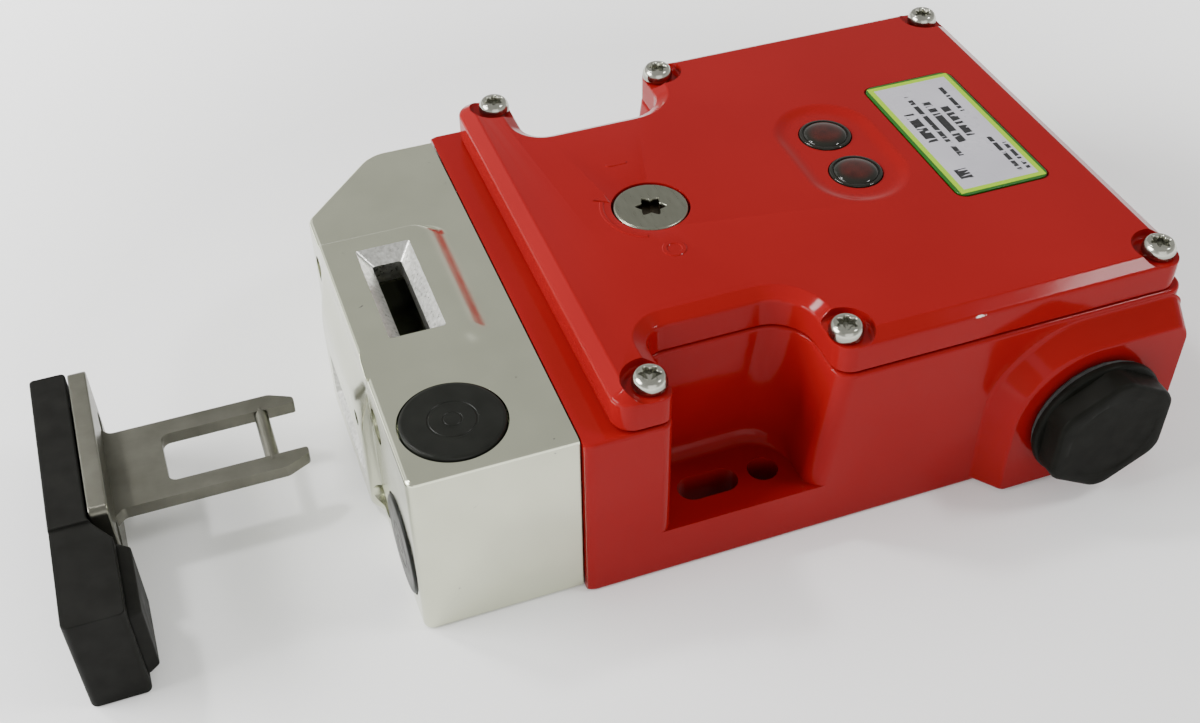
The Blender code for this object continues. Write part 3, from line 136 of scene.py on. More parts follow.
# Head
HEAD_FRONT = -61.4
HEAD_REAR = -34.4
HEAD_HALF = 42.5
HEAD_HEIGHT = 34.4
PAD_RISE = 2.0
PAD_NEAR = -14.1
PAD_FAR = 15.2
PAD_SLOPE = 2.9
PAD_TOP_SLOPE = 4.6
PAD_BACK = -44.1
PAD_BACK_SLOPE = 5.75
FRONT_RISE = 1.8
FRONT_SHOULDER = 22.0
PIN_HOLE = (-11.6, 20.8)
ENTRY_Z = 10.2
ENTRY_X = -51.2
SLOT_HALF_WIDTH = 9.75
SLOT_HALF_HEIGHT = 2.55
FUNNEL_DEPTH = 2.4
FUNNEL_SLOPE = 2.2
CAP_Y = -31.7
CAP_RADIUS = 8.4
HEAD_SCREWS = ((18.0, 6.0), (20.8, 26.6))
HEAD_SEAT_RADIUS = 3.05
HEAD_SEAT_DEPTH = 4.0
PIN_HOLE_RADIUS = 1.4
CAP_DEPTH = 7.9
CAM_ROOM = (-10.2, 10.2, 5.4, 30.8)
ENTRY_WALL = 6.0
CUT_CORNER = (15.0, 15.9)

# Key
KEY_TIP = -71.5
KEY_FACE = -104.5
KEY_BACK = -107.6
KEY_PLATE_HALF = 17.4
KEY_HEIGHT = 20.4
HOLDER_BACK = -113.9
HOLDER_FACE = -107.9
HOLDER_NEAR = -38.7
KEY_HOLE_Y = 13.6
KEY_HOLE_RADIUS = 2.2
TONGUE_HALF = 9.3
TONGUE_HALF_THICK = 1.2
WINDOW_HALF = 5.75
CROSSBAR_X = -77.6
CROSSBAR_RADIUS = 1.25
TAG = (-37.1, -21.7, 1.8, 17.4)


# Shapes

def rounded(corners, inset=0.0, steps=FINE):
    """Counter-clockwise outline with an arc at each (x, y, radius) corner, moved inwards by inset."""
    points = []
    count = len(corners)
    for i, (x, y, radius) in enumerate(corners):
        corner = Vector((x, y))
        before = Vector(corners[i - 1][:2])
        after = Vector(corners[(i + 1) % count][:2])
        u = (corner - before).normalized()
        v = (after - corner).normalized()
        turn = math.copysign(1.0, u.x * v.y - u.y * v.x)
        normal_u = Vector((-u.y, u.x))
        normal_v = Vector((-v.y, v.x))
        corner = corner + (normal_u + normal_v) * (inset / (1 + normal_u.dot(normal_v)))
        arc = max(radius - turn * inset, 0.05)
        angle = math.acos(max(-1.0, min(1.0, u.dot(v))))
        centre = corner - u * arc * math.tan(angle / 2) + normal_u * turn * arc
        spoke = -normal_u * turn * arc
        for k in range(steps + 1):
            a = turn * angle * k / steps
            points.append((centre.x + spoke.x * math.cos(a) - spoke.y * math.sin(a),
                           centre.y + spoke.x * math.sin(a) + spoke.y * math.cos(a)))
    return points


def box_corners(x0, x1, y0, y1, radius):
    return [(x0, y0, radius), (x1, y0, radius), (x1, y1, radius), (x0, y1, radius)]


def grown(box, by, radius):
    x0, x1, y0, y1 = box
    return box_corners(x0 - by, x1 + by, y0 - by, y1 + by, radius)


def quarter(steps):
    """Angles from 0 to a right angle."""
    return [math.pi / 2 * k / steps for k in range(steps + 1)]


def circle(radius, x=0.0, y=0.0, steps=ROUND):
    return [(x + radius * math.cos(math.tau * k / steps), y + radius * math.sin(math.tau * k / steps))
            for k in range(steps)]


def lifted(points, axis, level):
    """2-D points on a plane across the axis: (x, y) for Z, (y, z) for X, (x, z) for Y."""
    if axis == "X":
        return [(level, a, b) for a, b in points]
    if axis == "Y":
        return [(a, level, b) for a, b in points]
    return [(a, b, level) for a, b in points]


def loft(rings, closed=False):
    """Skin through rings of equal count; the ends are capped, or joined into a closed tube."""
    bm = bmesh.new()
    layers = [[bm.verts.new(point) for point in ring] for ring in rings]
    pairs = list(zip(layers, layers[1:]))
    if closed:
        pairs.append((layers[-1], layers[0]))
    for low, high in pairs:
        for k in range(len(low)):
            n = (k + 1) % len(low)
            bm.faces.new((low[k], low[n], high[n], high[k]))
    if not closed:
        bm.faces.new(list(reversed(layers[0])))
        bm.faces.new(layers[-1])
    return bm


def prism(points, axis, low, high):
    return loft([lifted(points, axis, low), lifted(points, axis, high)])


def discs(profile, axis, x=0.0, y=0.0, steps=ROUND):
    return [lifted(circle(radius, x, y, steps), axis, level) for radius, level in profile]


def plates(corners, axis, stations, steps=FINE):
    """Rounded outlines, each with its own inset and level."""
    return [lifted(rounded(corners, inset, steps), axis, level) for inset, level in stations]


def turned(profile, axis, x=0.0, y=0.0, steps=ROUND, closed=False):
    return loft(discs(profile, axis, x, y, steps), closed)


def softened(corners, axis, low, high, radius, steps=6):
    """Prism of a rounded outline whose two end edges are rounded as well."""
    edge = [(radius * (1 - math.sin(a)), radius * (1 - math.cos(a))) for a in quarter(steps)]
    stations = [(inset, low + rise) for inset, rise in edge]
    stations += [(inset, high - rise) for inset, rise in reversed(edge)]
    return loft(plates(corners, axis, stations))


def solid(name, bm, *looks):
    """Object at the origin with its place in its mesh."""
    bmesh.ops.recalc_face_normals(bm, faces=bm.faces)
    bm.transform(Matrix.Scale(MM, 4))
    mesh = bpy.data.meshes.new(name)
    bm.to_mesh(mesh)
    bm.free()
    for look in looks:
        mesh.materials.append(look)
    obj = bpy.data.objects.new(name, mesh)
    bpy.context.scene.collection.objects.link(obj)
    return obj


def block(name, corners, axis, low, high, steps=FINE):
    return solid(name, prism(rounded(corners, steps=steps), axis, low, high))


def rod(axis, radius, low, high, a, b, steps=ROUND):
    return solid("rod", turned([(radius, low), (radius, high)], axis, a, b, steps))


def flatten(obj):
    """Turns the evaluated shape, modifiers and node trees included, into the object's own mesh."""
    bpy.context.view_layer.update()
    graph = bpy.context.evaluated_depsgraph_get()
    made = bpy.data.meshes.new_from_object(obj.evaluated_get(graph), depsgraph=graph)
    obj.modifiers.clear()
    old = obj.data
    obj.data = made
    made.name = obj.name
    if old.users == 0:
        bpy.data.meshes.remove(old)
    return obj


def machine(obj, cuts=(), joins=()):
    """Adds and removes shapes one after another, and then drops them."""
    for operation, others in (("UNION", joins), ("DIFFERENCE", cuts)):
        for other in others:
            modifier = obj.modifiers.new("step", "BOOLEAN")
            modifier.operation = operation
            modifier.solver = "EXACT"
            modifier.object = other
    flatten(obj)
    for other in [*joins, *cuts]:
        bpy.data.objects.remove(other)
    return obj


def break_edges(obj, width):
    """Rounds every sharp edge, and evens the shading of the flats beside it."""
    bm = bmesh.new()
    bm.from_mesh(obj.data)
    bmesh.ops.remove_doubles(bm, verts=bm.verts, dist=0.01 * MM)
    bmesh.ops.dissolve_limit(bm, angle_limit=math.radians(0.3), verts=bm.verts, edges=bm.edges,
                             delimit={"MATERIAL"})
    bmesh.ops.dissolve_degenerate(bm, dist=0.005 * MM, edges=bm.edges)
    bm.to_mesh(obj.data)
    bm.free()
    bevel = obj.modifiers.new("edge", "BEVEL")
    bevel.width = width * MM
    bevel.segments = 3
    bevel.limit_method = "ANGLE"
    bevel.angle_limit = math.radians(32)
    bevel.use_clamp_overlap = True
    bevel.miter_outer = "MITER_ARC"
    flatten(obj)
    return even(obj)


def trim(obj, x, side):
    """Cuts the shape off square at a level of x, so that the joint there keeps sharp edges."""
    far = x + side * 20
    wide = box_corners(min(x, far), max(x, far), -60, 60, 0.1)
    return even(machine(obj, [block("trim", wide, "Z", -5, 60, 1)]))


def even(obj, sharp=50):
    """Smooth shading that leaves flats flat."""
    obj.data.shade_smooth()
    obj.data.set_sharp_from_angle(angle=math.radians(sharp))
    weighted = obj.modifiers.new("even", "WEIGHTED_NORMAL")
    weighted.weight = 90
    weighted.keep_sharp = True
    return flatten(obj)


def seat(obj, body, slot, *nodes):
    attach(obj, body)
    if nodes:
        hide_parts(*nodes)
    return obj


# Finishes

class Finish:
    """A Principled material whose nodes read Object coordinates."""

    def __init__(self, name, color, metallic, roughness):
        self.material = bpy.data.materials.new(name)
        self.material.use_nodes = True
        self.tree = self.material.node_tree
        self.shader = self.tree.nodes["Principled BSDF"]
        self.set({"Base Color": (*color, 1.0), "Metallic": metallic, "Roughness": roughness})
        self.place = self.node("ShaderNodeTexCoord").outputs["Object"]

    def set(self, values):
        for socket, value in values.items():
            self.shader.inputs[socket].default_value = value

    def node(self, kind, **values):
        made = self.tree.nodes.new(kind)
        for key, value in values.items():
            if key in made.inputs:
                made.inputs[key].default_value = value
            else:
                setattr(made, key, value)
        return made

    def link(self, a, b):
        self.tree.links.new(a, b)

    def noise(self, size_mm, detail=2.0, stretch=(1, 1, 1)):
        """Noise whose features are about size_mm across, drawn out along an axis by stretch."""
        mapping = self.node("ShaderNodeMapping", Scale=tuple(1.0 / s for s in stretch))
        self.link(self.place, mapping.inputs["Vector"])
        made = self.node("ShaderNodeTexNoise", Scale=1 / (size_mm * MM), Detail=detail)
        self.link(mapping.outputs["Vector"], made.inputs["Vector"])
        return made.outputs["Fac"]

    def spread(self, value, low, high, start=0.3, end=0.7):
        limits = {"From Min": start, "From Max": end, "To Min": low, "To Max": high}
        made = self.node("ShaderNodeMapRange", **limits)
        self.link(value, made.inputs["Value"])
        return made.outputs["Result"]

    def tones(self, value, dark, light):
        made = self.node("ShaderNodeValToRGB")
        first, last = made.color_ramp.elements
        first.position, first.color = 0.3, (*dark, 1.0)
        last.position, last.color = 0.7, (*light, 1.0)
        self.link(value, made.inputs["Fac"])
        return made.outputs["Color"]

    def mix(self, factor, a, b):
        made = self.node("ShaderNodeMix", data_type="RGBA")
        self.link(factor, made.inputs[0])
        for socket, value in ((made.inputs[6], a), (made.inputs[7], b)):
            if isinstance(value, tuple):
                socket.default_value = (*value, 1.0)
            else:
                self.link(value, socket)
        return made.outputs[2]

    def calc(self, a, b, operation="ADD"):
        made = self.node("ShaderNodeMath", operation=operation)
        for socket, value in ((made.inputs[0], a), (made.inputs[1], b)):
            if isinstance(value, (int, float)):
                socket.default_value = value
            else:
                self.link(value, socket)
        return made.outputs[0]

    def color(self, value):
        self.link(value, self.shader.inputs["Base Color"])

    def roughness(self, value):
        self.link(value, self.shader.inputs["Roughness"])

    def bump(self, height, depth_mm):
        made = self.node("ShaderNodeBump", Strength=1.0, Distance=depth_mm * MM)
        self.link(height, made.inputs["Height"])
        self.link(made.outputs["Normal"], self.shader.inputs["Normal"])

    def dress(self, tones, rough, bump):
        """Colour, roughness and bump, each from its own noise: its size, its detail and what it gives."""
        size, detail, dark, light = tones
        self.color(self.tones(self.noise(size, detail), dark, light))
        size, detail, low, high = rough
        self.roughness(self.spread(self.noise(size, detail), low, high))
        size, detail, depth_mm = bump
        self.bump(self.noise(size, detail), depth_mm)
        return self.material

    def vector(self, operation, value, other=(0.0, 0.0, 0.0)):
        made = self.node("ShaderNodeVectorMath", operation=operation)
        made.inputs[1].default_value = other
        self.link(value, made.inputs[0])
        return made.outputs

    def axis(self, letter):
        made = self.node("ShaderNodeSeparateXYZ")
        self.link(self.place, made.inputs[0])
        return made.outputs[letter]

    def plan_reach(self, x, y):
        """Distance in plan from the upright line through x, y."""
        level = self.vector("MULTIPLY", self.place, (1.0, 1.0, 0.0))["Vector"]
        return self.vector("DISTANCE", level, (x * MM, y * MM, 0.0))["Value"]


def red_enamel():
    """Thick glossy enamel with a faint orange peel and one chip on the lid's near edge."""
    look = Finish("red_enamel", (0.20, 0.0055, 0.009), 0.0, 0.14)
    red = look.tones(look.noise(30, 3), (0.208, 0.0062, 0.0066), (0.226, 0.0072, 0.0076))
    narrow = 0.2
    x, y, z = (-v * MM for v in CHIP)
    squeeze = look.node("ShaderNodeMapping", Location=(x * narrow, y, z), Scale=(narrow, 1.0, 1.0))
    look.link(look.place, squeeze.inputs["Vector"])
    away = look.vector("LENGTH", squeeze.outputs["Vector"])["Value"]
    ragged = look.calc(look.noise(0.7, 3), 0.5 * MM, "MULTIPLY")
    chipped = look.spread(look.calc(away, ragged), 1.0, 0.0, 0.58 * MM, 0.66 * MM)
    look.color(look.mix(chipped, red, (0.75, 0.72, 0.68)))
    look.roughness(look.spread(look.noise(7, 3), 0.08, 0.13))
    look.bump(look.noise(1.8, 1.0), 0.006)
    look.set({"Specular IOR Level": 0.08})
    return look.material


def cast_metal():
    """Bright tumbled casting: an even satin grain with faint clouds and a few darker specks."""
    look = Finish("bright_casting", (0.52, 0.53, 0.47), 1.0, 0.34)
    grain = look.noise(0.3, 4)
    clouds = look.noise(11, 3)
    tone = look.tones(clouds, (0.55, 0.565, 0.445), (0.60, 0.615, 0.490))
    specks = look.spread(look.noise(1.0, 1), 0.0, 1.0, 0.215, 0.19)
    look.color(look.mix(specks, tone, (0.33, 0.33, 0.29)))
    look.roughness(look.spread(look.noise(4, 4), 0.15, 0.21))
    look.bump(grain, 0.0022)
    return look.material


def rough_casting():
    """Unpolished skin inside the key entries, pebbled as it left the die."""
    look = Finish("rough_casting", (0.56, 0.56, 0.53), 1.0, 0.42)
    return look.dress((0.7, 3, (0.46, 0.46, 0.43), (0.72, 0.72, 0.69)), (0.5, 3, 0.25, 0.42),
                      (0.42, 2.0, 0.045))


def turned_steel(name, color, low, high):
    look = Finish(name, color, 1.0, (low + high) / 2)
    dark = tuple(c * 0.82 for c in color)
    return look.dress((2.5, 4, dark, color), (0.16, 3, low, high), (0.16, 2, 0.004))


def disc_steel():
    """Ground face with fine scratches, and a darker, browner colour low in the star recess."""
    look = Finish("ground_stainless", (0.22, 0.22, 0.18), 1.0, 0.3)
    scratches = look.noise(0.8, 3, stretch=(1, 4, 1))
    bright = look.tones(scratches, (0.210, 0.212, 0.168), (0.235, 0.237, 0.190))
    deep = look.spread(look.axis("Z"), 1.0, 0.0, (LID_TOP - 0.5) * MM, (LID_TOP - 0.2) * MM)
    inside = look.spread(look.plan_reach(RELEASE_X, 0.0), 1.0, 0.0, 3.4 * MM, 3.6 * MM)
    # Darker, browner colour below the rim inside the star recess.
    darker_in_recess = look.calc(deep, inside, "MULTIPLY")
    look.color(look.mix(darker_in_recess, bright, (0.040, 0.031, 0.021)))
    look.roughness(look.spread(scratches, 0.26, 0.34))
    look.bump(scratches, 0.002)
    return look.material


def key_steel():
    """Pressed steel with a dull ground surface and slightly darker patches."""
    look = Finish("key_steel", (0.15, 0.15, 0.12), 1.0, 0.36)
    look.color(look.tones(look.noise(5, 4), (0.125, 0.123, 0.100), (0.165, 0.162, 0.135)))
    lines = look.noise(0.6, 3, stretch=(6, 1, 1))
    look.roughness(look.spread(lines, 0.32, 0.42))
    look.bump(lines, 0.003)
    return look.material


def moulding(name, color, low, high, depth=0.02, shine=0.5):
    """Moulded plastic with a fine spark-eroded grain and a little sheen variation."""
    look = Finish(name, color, 0.0, (low + high) / 2)
    look.set({"Specular IOR Level": shine})
    lighter = tuple(c * 1.35 + 0.001 for c in color)
    return look.dress((3.5, 4, color, lighter), (2.2, 4, low, high), (0.5, 2, depth))


def rubber():
    look = Finish("seal_rubber", (0.016, 0.016, 0.016), 0.0, 0.65)
    return look.dress((1.5, 3, (0.012, 0.012, 0.012), (0.030, 0.029, 0.028)),
                      (1.0, 3, 0.55, 0.75), (0.4, 2, 0.015))


def smoky_lens():
    """Dark lens: a smoky ring round a red-brown core, where the lamp behind it shows."""
    look = Finish("smoky_lens", (0.02, 0.016, 0.012), 0.0, 0.06)
    first, second = (look.plan_reach(LAMP_X, y) for y in LAMP_Y)
    core = look.spread(look.calc(first, second, "MINIMUM"), 1.0, 0.0, 2.3 * MM, 3.4 * MM)
    red = look.tones(look.noise(2.4, 2), (0.030, 0.0050, 0.0035), (0.062, 0.0105, 0.0070))
    look.color(look.mix(core, (0.0125, 0.0125, 0.0090), red))
    look.roughness(look.spread(look.noise(4, 2), 0.04, 0.12))
    look.set({"Transmission Weight": 0.2, "IOR": 1.49, "Specular IOR Level": 0.2, "Coat Weight": 0.06,
              "Coat Roughness": 0.03})
    return look.material


def plain(name, dark, light, metallic, low, high):
    look = Finish(name, light, metallic, (low + high) / 2)
    return look.dress((2.0, 4, dark, light), (1.4, 3, low, high), (0.4, 2, 0.01))


def label_face():
    """Printed plate: two border lines, and bars where print would stand."""
    look = Finish("label_face", (0.60, 0.58, 0.63), 0.0, 0.3)
    x0, x1, y0, y1 = (v * MM for v in LABEL)
    x, y = look.axis("X"), look.axis("Y")

    def reach(value, low, high):
        """Distance inwards from the nearer of two edges."""
        a = look.calc(value, low, "SUBTRACT")
        b = look.calc(high, value, "SUBTRACT")
        return look.calc(a, b, "MINIMUM")

    inward = look.calc(reach(x, x0, x1), reach(y, y0, y1), "MINIMUM")
    green = look.spread(inward, 1.0, 0.0, 0.52 * MM, 0.58 * MM)
    lime = look.spread(inward, 1.0, 0.0, 1.50 * MM, 1.60 * MM)
    print_color = look.tones(look.noise(0.6, 3), (0.008, 0.008, 0.009), (0.020, 0.020, 0.022))

    def bar(along, low, high, across, centre, half):
        away = look.calc(look.calc(across, centre, "SUBTRACT"), 0.0, "ABSOLUTE")
        inner = look.calc(reach(along, low, high), look.calc(half, away, "SUBTRACT"), "MINIMUM")
        return look.calc(inner, 0.0, "GREATER_THAN")

    marks = None
    rows = [(3.9, 2.0, -0.5, 9.0), (6.4, 1.0, -6.0, 14.5), (8.8, 1.6, -2.5, 11.5), (11.3, 1.6, -1.0, 9.0),
            (13.9, 0.9, -13.5, -2.5), (13.9, 0.9, 6.5, 15.0), (15.6, 0.8, -13.5, -5.0),
            (3.9, 2.4, -12.5, -9.5)]
    for down, thick, low, high in rows:
        mark = bar(y, low * MM, high * MM, x, x0 + down * MM, thick * 0.5 * MM)
        marks = mark if marks is None else look.calc(marks, mark, "MAXIMUM")
        marks = mark if marks is None else look.calc(marks, mark, "MAXIMUM")
    broken = look.spread(look.noise(0.55, 0, stretch=(7, 1, 1)), 0.0, 1.0, 0.40, 0.43)
    marks = look.calc(marks, broken, "MULTIPLY")
    paper = look.tones(look.noise(8, 3), (0.37, 0.36, 0.395), (0.41, 0.40, 0.435))
    face = look.mix(marks, paper, print_color)
    face = look.mix(lime, face, (0.27, 0.46, 0.004))
    look.color(look.mix(green, face, (0.010, 0.085, 0.006)))
    look.roughness(look.spread(look.noise(5, 3), 0.24, 0.38))
    look.set({"Specular IOR Level": 0.25, "Coat Weight": 0.06, "Coat Roughness": 0.12})
    return look.material


RED = red_enamel()
CAST = cast_metal()
ROUGH = rough_casting()
STEEL = turned_steel("stainless", (0.40, 0.40, 0.35), 0.14, 0.24)
DISC_STEEL = disc_steel()
# A darker steel tone for the cam and its axle.
DARK_STEEL = turned_steel("blackened_steel", (0.07, 0.07, 0.065), 0.35, 0.5)
KEY = key_steel()
BLACK = moulding("black_moulding", (0.0075, 0.0080, 0.0065), 0.28, 0.40, depth=0.010, shine=0.13)
PLUG = moulding("plug_moulding", (0.0050, 0.0051, 0.0040), 0.38, 0.50, depth=0.008, shine=0.04)
HOLDER = moulding("holder_moulding", (0.0085, 0.0085, 0.0075), 0.42, 0.55, depth=0.010, shine=0.04)
GREY = moulding("grey_moulding", (0.085, 0.085, 0.09), 0.4, 0.55)
RUBBER = rubber()
LENS = smoky_lens()
LAMP = plain("lamp_epoxy", (0.42, 0.03, 0.02), (0.62, 0.06, 0.04), 0.0, 0.10, 0.22)
BOARD = plain("board_green", (0.012, 0.10, 0.035), (0.02, 0.16, 0.06), 0.0, 0.3, 0.5)
COPPER = plain("enamelled_copper", (0.42, 0.13, 0.05), (0.60, 0.23, 0.09), 1.0, 0.25, 0.4)
BRASS = plain("brass", (0.52, 0.33, 0.10), (0.66, 0.45, 0.16), 1.0, 0.22, 0.38)
PRINTED = label_face()


# Housing castings

def pocketed(front, rear, half, pocket_rear, inner, radius, inset=0.0, flat=False):
    """Plan outline of body or lid with a pocket in each side; flat fills the pockets level."""
    places = ((POCKET_FRONT, -half), (POCKET_FRONT, -inner), (pocket_rear, -inner), (pocket_rear, -half))
    near = [(x, y, r) for (x, y), r in zip(places, POCKET_ROUNDS)]
    far = [(x, -y, r) for x, y, r in reversed(near)]
    corners = [(front, -half, radius), *near, (rear, -half, radius), (rear, half, radius), *far,
               (front, half, radius)]
    points = rounded(corners, inset)
    if flat:
        per_corner = FINE + 1
        for first, side in ((1, -1), (7, 1)):
            start = first * per_corner
            run = points[start:start + 4 * per_corner]
            a, b = run[0][0], run[-1][0]
            for k in range(len(run)):
                points[start + k] = (a + (b - a) * k / (len(run) - 1), side * (half - inset))
    return points


def body_ring(level, inset=0.0, flare=0.0, draft=0.0, flat=False):
    """The body is drawn a little too long at the head's joint, where it is trimmed square."""
    outline = pocketed(JOINT_X - SPARE, BODY_REAR, BODY_HALF, POCKET_REAR + flare, POCKET_INNER + draft,
                       CORNER_ROUND, inset, flat)
    return lifted(outline, "Z", level)


def hollow_plan(inset=0.0):
    front, rear = JOINT_X + FRONT_WALL, BODY_REAR - WALL
    narrow, wide = POCKET_INNER - WALL, BODY_HALF - WALL
    wide_start = SCREW_X[1] + SCREW_RADIUS + WALL
    post_x = SCREW_X[2] - SCREW_RADIUS - WALL + GAP
    post_y = SCREW_Y - SCREW_RADIUS - WALL + GAP
    side = [(front, -narrow, HOLLOW_ROUND), (wide_start, -narrow, HOLLOW_TURN),
            (wide_start, -wide, HOLLOW_ROUND), (post_x, -wide, HOLLOW_ROUND), (post_x, -post_y, HOLLOW_TURN),
            (rear, -post_y, HOLLOW_ROUND)]
    return rounded(side + [(x, -y, r) for x, y, r in reversed(side)], inset, 4)


def boss_ring(slope, side, level):
    front, rear = BOSS_X - BOSS_RADIUS - slope, BODY_REAR - 1.2 + 0.2 * slope
    top = BOSS_Z + BOSS_RADIUS - 0.5 + slope
    corners = [(front, EDGE_ROUND, 0.8), (rear, EDGE_ROUND, 1.2), (rear, top, 3.0),
               (front, top, BOSS_RADIUS + slope * 0.6)]
    return lifted(rounded(corners, 0.0, 16), "Y", side * level)


def conduit_boss(side):
    """Boss whose side rolls out of the wall, runs straight and rolls into its face."""
    roll, steps = 0.2, 20
    rings = [boss_ring(BOSS_SLOPE, side, BODY_HALF - 1.5)]
    for k in range(steps + 1):
        t = k / steps
        if t < roll:
            share = t * t / (2 * roll)
        elif t > 1 - roll:
            share = 1 - roll - (1 - t) ** 2 / (2 * roll)
        else:
            share = t - roll / 2
        rise = BOSS_HEIGHT * share / (1 - roll)
        rings.append(boss_ring(BOSS_SLOPE * (1 - t), side, BODY_HALF + 0.02 + rise * 0.995))
    return solid("boss", loft(rings))


def body_shell():
    rings = []
    for a in quarter(4):
        rings.append(body_ring(EDGE_ROUND * (1 - math.cos(a)), EDGE_ROUND * (1 - math.sin(a)), flat=True))
    rings.append(body_ring(FOOT_HEIGHT, flat=True))
    span = BODY_HEIGHT - EDGE_ROUND - FOOT_HEIGHT
    for a in quarter(7):
        rise = POCKET_FILLET * (1 - math.cos(a))
        rings.append(body_ring(FOOT_HEIGHT + rise, flare=POCKET_FLARE * rise / span,
                               draft=POCKET_FILLET * (1 - math.sin(a))))
    for a in quarter(5):
        rings.append(body_ring(BODY_HEIGHT - EDGE_ROUND * (1 - math.sin(a)), EDGE_ROUND * (1 - math.cos(a)),
                               POCKET_FLARE))
    body = solid("body_shell", loft(rings), RED)
    cuts = [solid("hollow", prism(hollow_plan(), "Z", FLOOR, BODY_HEIGHT + 2))]
    for side in (-1, 1):
        outside = side * (BODY_HALF + BOSS_HEIGHT + 1)
        inside = outside - side * (THREAD_LENGTH + 2)
        cuts.append(rod("Y", THREAD_RADIUS + GAP, inside, outside, BOSS_X, BOSS_Z))
        cuts.append(rod("Z", FIXING_RADIUS, -1, FOOT_HEIGHT + 1, 0.0, side * FIXING_Y, 40))
        y = side * FIXING_Y
        slot = box_corners(SLOT_X - SLOT_LENGTH / 2, SLOT_X + SLOT_LENGTH / 2, y - FIXING_RADIUS,
                           y + FIXING_RADIUS, FIXING_RADIUS - 0.02)
        cuts.append(block("slot", slot, "Z", -1, FOOT_HEIGHT + 1))
        for x in SCREW_X:
            cuts.append(rod("Z", SCREW_RADIUS + GAP, LID_TOP - SEAT_DEPTH - SCREW_LENGTH, BODY_HEIGHT + 1, x,
                             side * SCREW_Y, 24))
    machine(body, cuts, [conduit_boss(-1), conduit_boss(1)])
    break_edges(body, 0.45)
    trim(body, JOINT_X, -1)
    return seat(body, "housing", "enamel", "body_casting")


def lid_ring(level, inset):
    return lifted(pocketed(LID_FRONT, LID_REAR, LID_HALF, POCKET_REAR + POCKET_FLARE, POCKET_INNER,
                           CORNER_ROUND + 0.4, inset), "Z", level)


def lid_rings():
    """Lip, soft shoulder, sloping chamfer and soft top edge."""
    lip = LID_TOP - CHAMFER_HEIGHT
    slope = math.atan2(CHAMFER_HEIGHT, CHAMFER_WIDTH)
    rings = [lid_ring(LID_BOTTOM, 0.45), lid_ring(LID_BOTTOM + 0.12, 0.14), lid_ring(LID_BOTTOM + 0.45, 0.0)]
    r = 0.9
    low_run, high_run = r * math.tan((math.pi / 2 - slope) / 2), r * math.tan(slope / 2)
    for k in range(6):
        a = (math.pi / 2 - slope) * k / 5
        rings.append(lid_ring(lip - low_run + r * math.sin(a), r * (1 - math.cos(a))))
    for k in range(6):
        a = slope * (1 - k / 5)
        rings.append(lid_ring(LID_TOP - r * (1 - math.cos(a)), CHAMFER_WIDTH + high_run - r * math.sin(a)))
    return rings


def lid_shell():
    lid = solid("lid_shell", loft(lid_rings()), RED)
    joins = [rod("Z", RELEASE_BOSS, LID_BOTTOM - 1.6, LID_CEILING + 1, RELEASE_X, 0.0, 48)]
    machine(lid, [solid("hollow", prism(hollow_plan(0.4), "Z", LID_BOTTOM - 1, LID_CEILING))])
    cuts = [rod("Z", RELEASE_RADIUS + GAP, LID_TOP - DISC_SEAT, LID_TOP + 1, RELEASE_X, 0.0),
            rod("Z", SHAFT_HOLE, LID_BOTTOM - 3, LID_TOP, RELEASE_X, 0.0, 48)]
    dish = grown((LAMP_X, LAMP_X, *LAMP_Y), DISH_RADIUS, DISH_RADIUS - 0.02)
    levels = [(2.6, 0.0), (2.0, 0.05), (1.4, 0.18), (0.8, 0.42), (0.3, 0.70), (-0.2, 0.90), (-0.8, 1.02)]
    stations = [(inset, LID_TOP - DISH_DEPTH + DISH_DEPTH * share) for inset, share in levels]
    cuts.append(solid("dish", loft(plates(dish, "Z", [*stations, (-0.8, LID_TOP + 1)], 16))))
    for y in LAMP_Y:
        cuts.append(rod("Z", LAMP_RADIUS + GAP, LID_CEILING - 1, LID_TOP + 1, LAMP_X, y, 64))
    cuts.append(block("recess", grown(LABEL, GAP, 2.0), "Z", LID_TOP - LABEL_RECESS, LID_TOP + 1))
    low = LID_TOP - SEAT_DEPTH
    seat_profile = [(SEAT_RADIUS - 0.6, low), (SEAT_RADIUS - 0.17, low + 0.17), (SEAT_RADIUS, low + 0.6),
                    (SEAT_RADIUS, LID_TOP + 1)]
    for side in (-1, 1):
        for x in SCREW_X:
            cuts.append(solid("seat", turned(seat_profile, "Z", x, side * SCREW_Y, 64)))
            cuts.append(rod("Z", SCREW_RADIUS + GAP, LID_BOTTOM - 1, LID_TOP, x, side * SCREW_Y, 24))
    machine(lid, cuts, joins)
    break_edges(lid, EDGE_BREAK)
    machine(lid, (), release_marks())
    return seat(lid, "housing", "enamel", "lid")


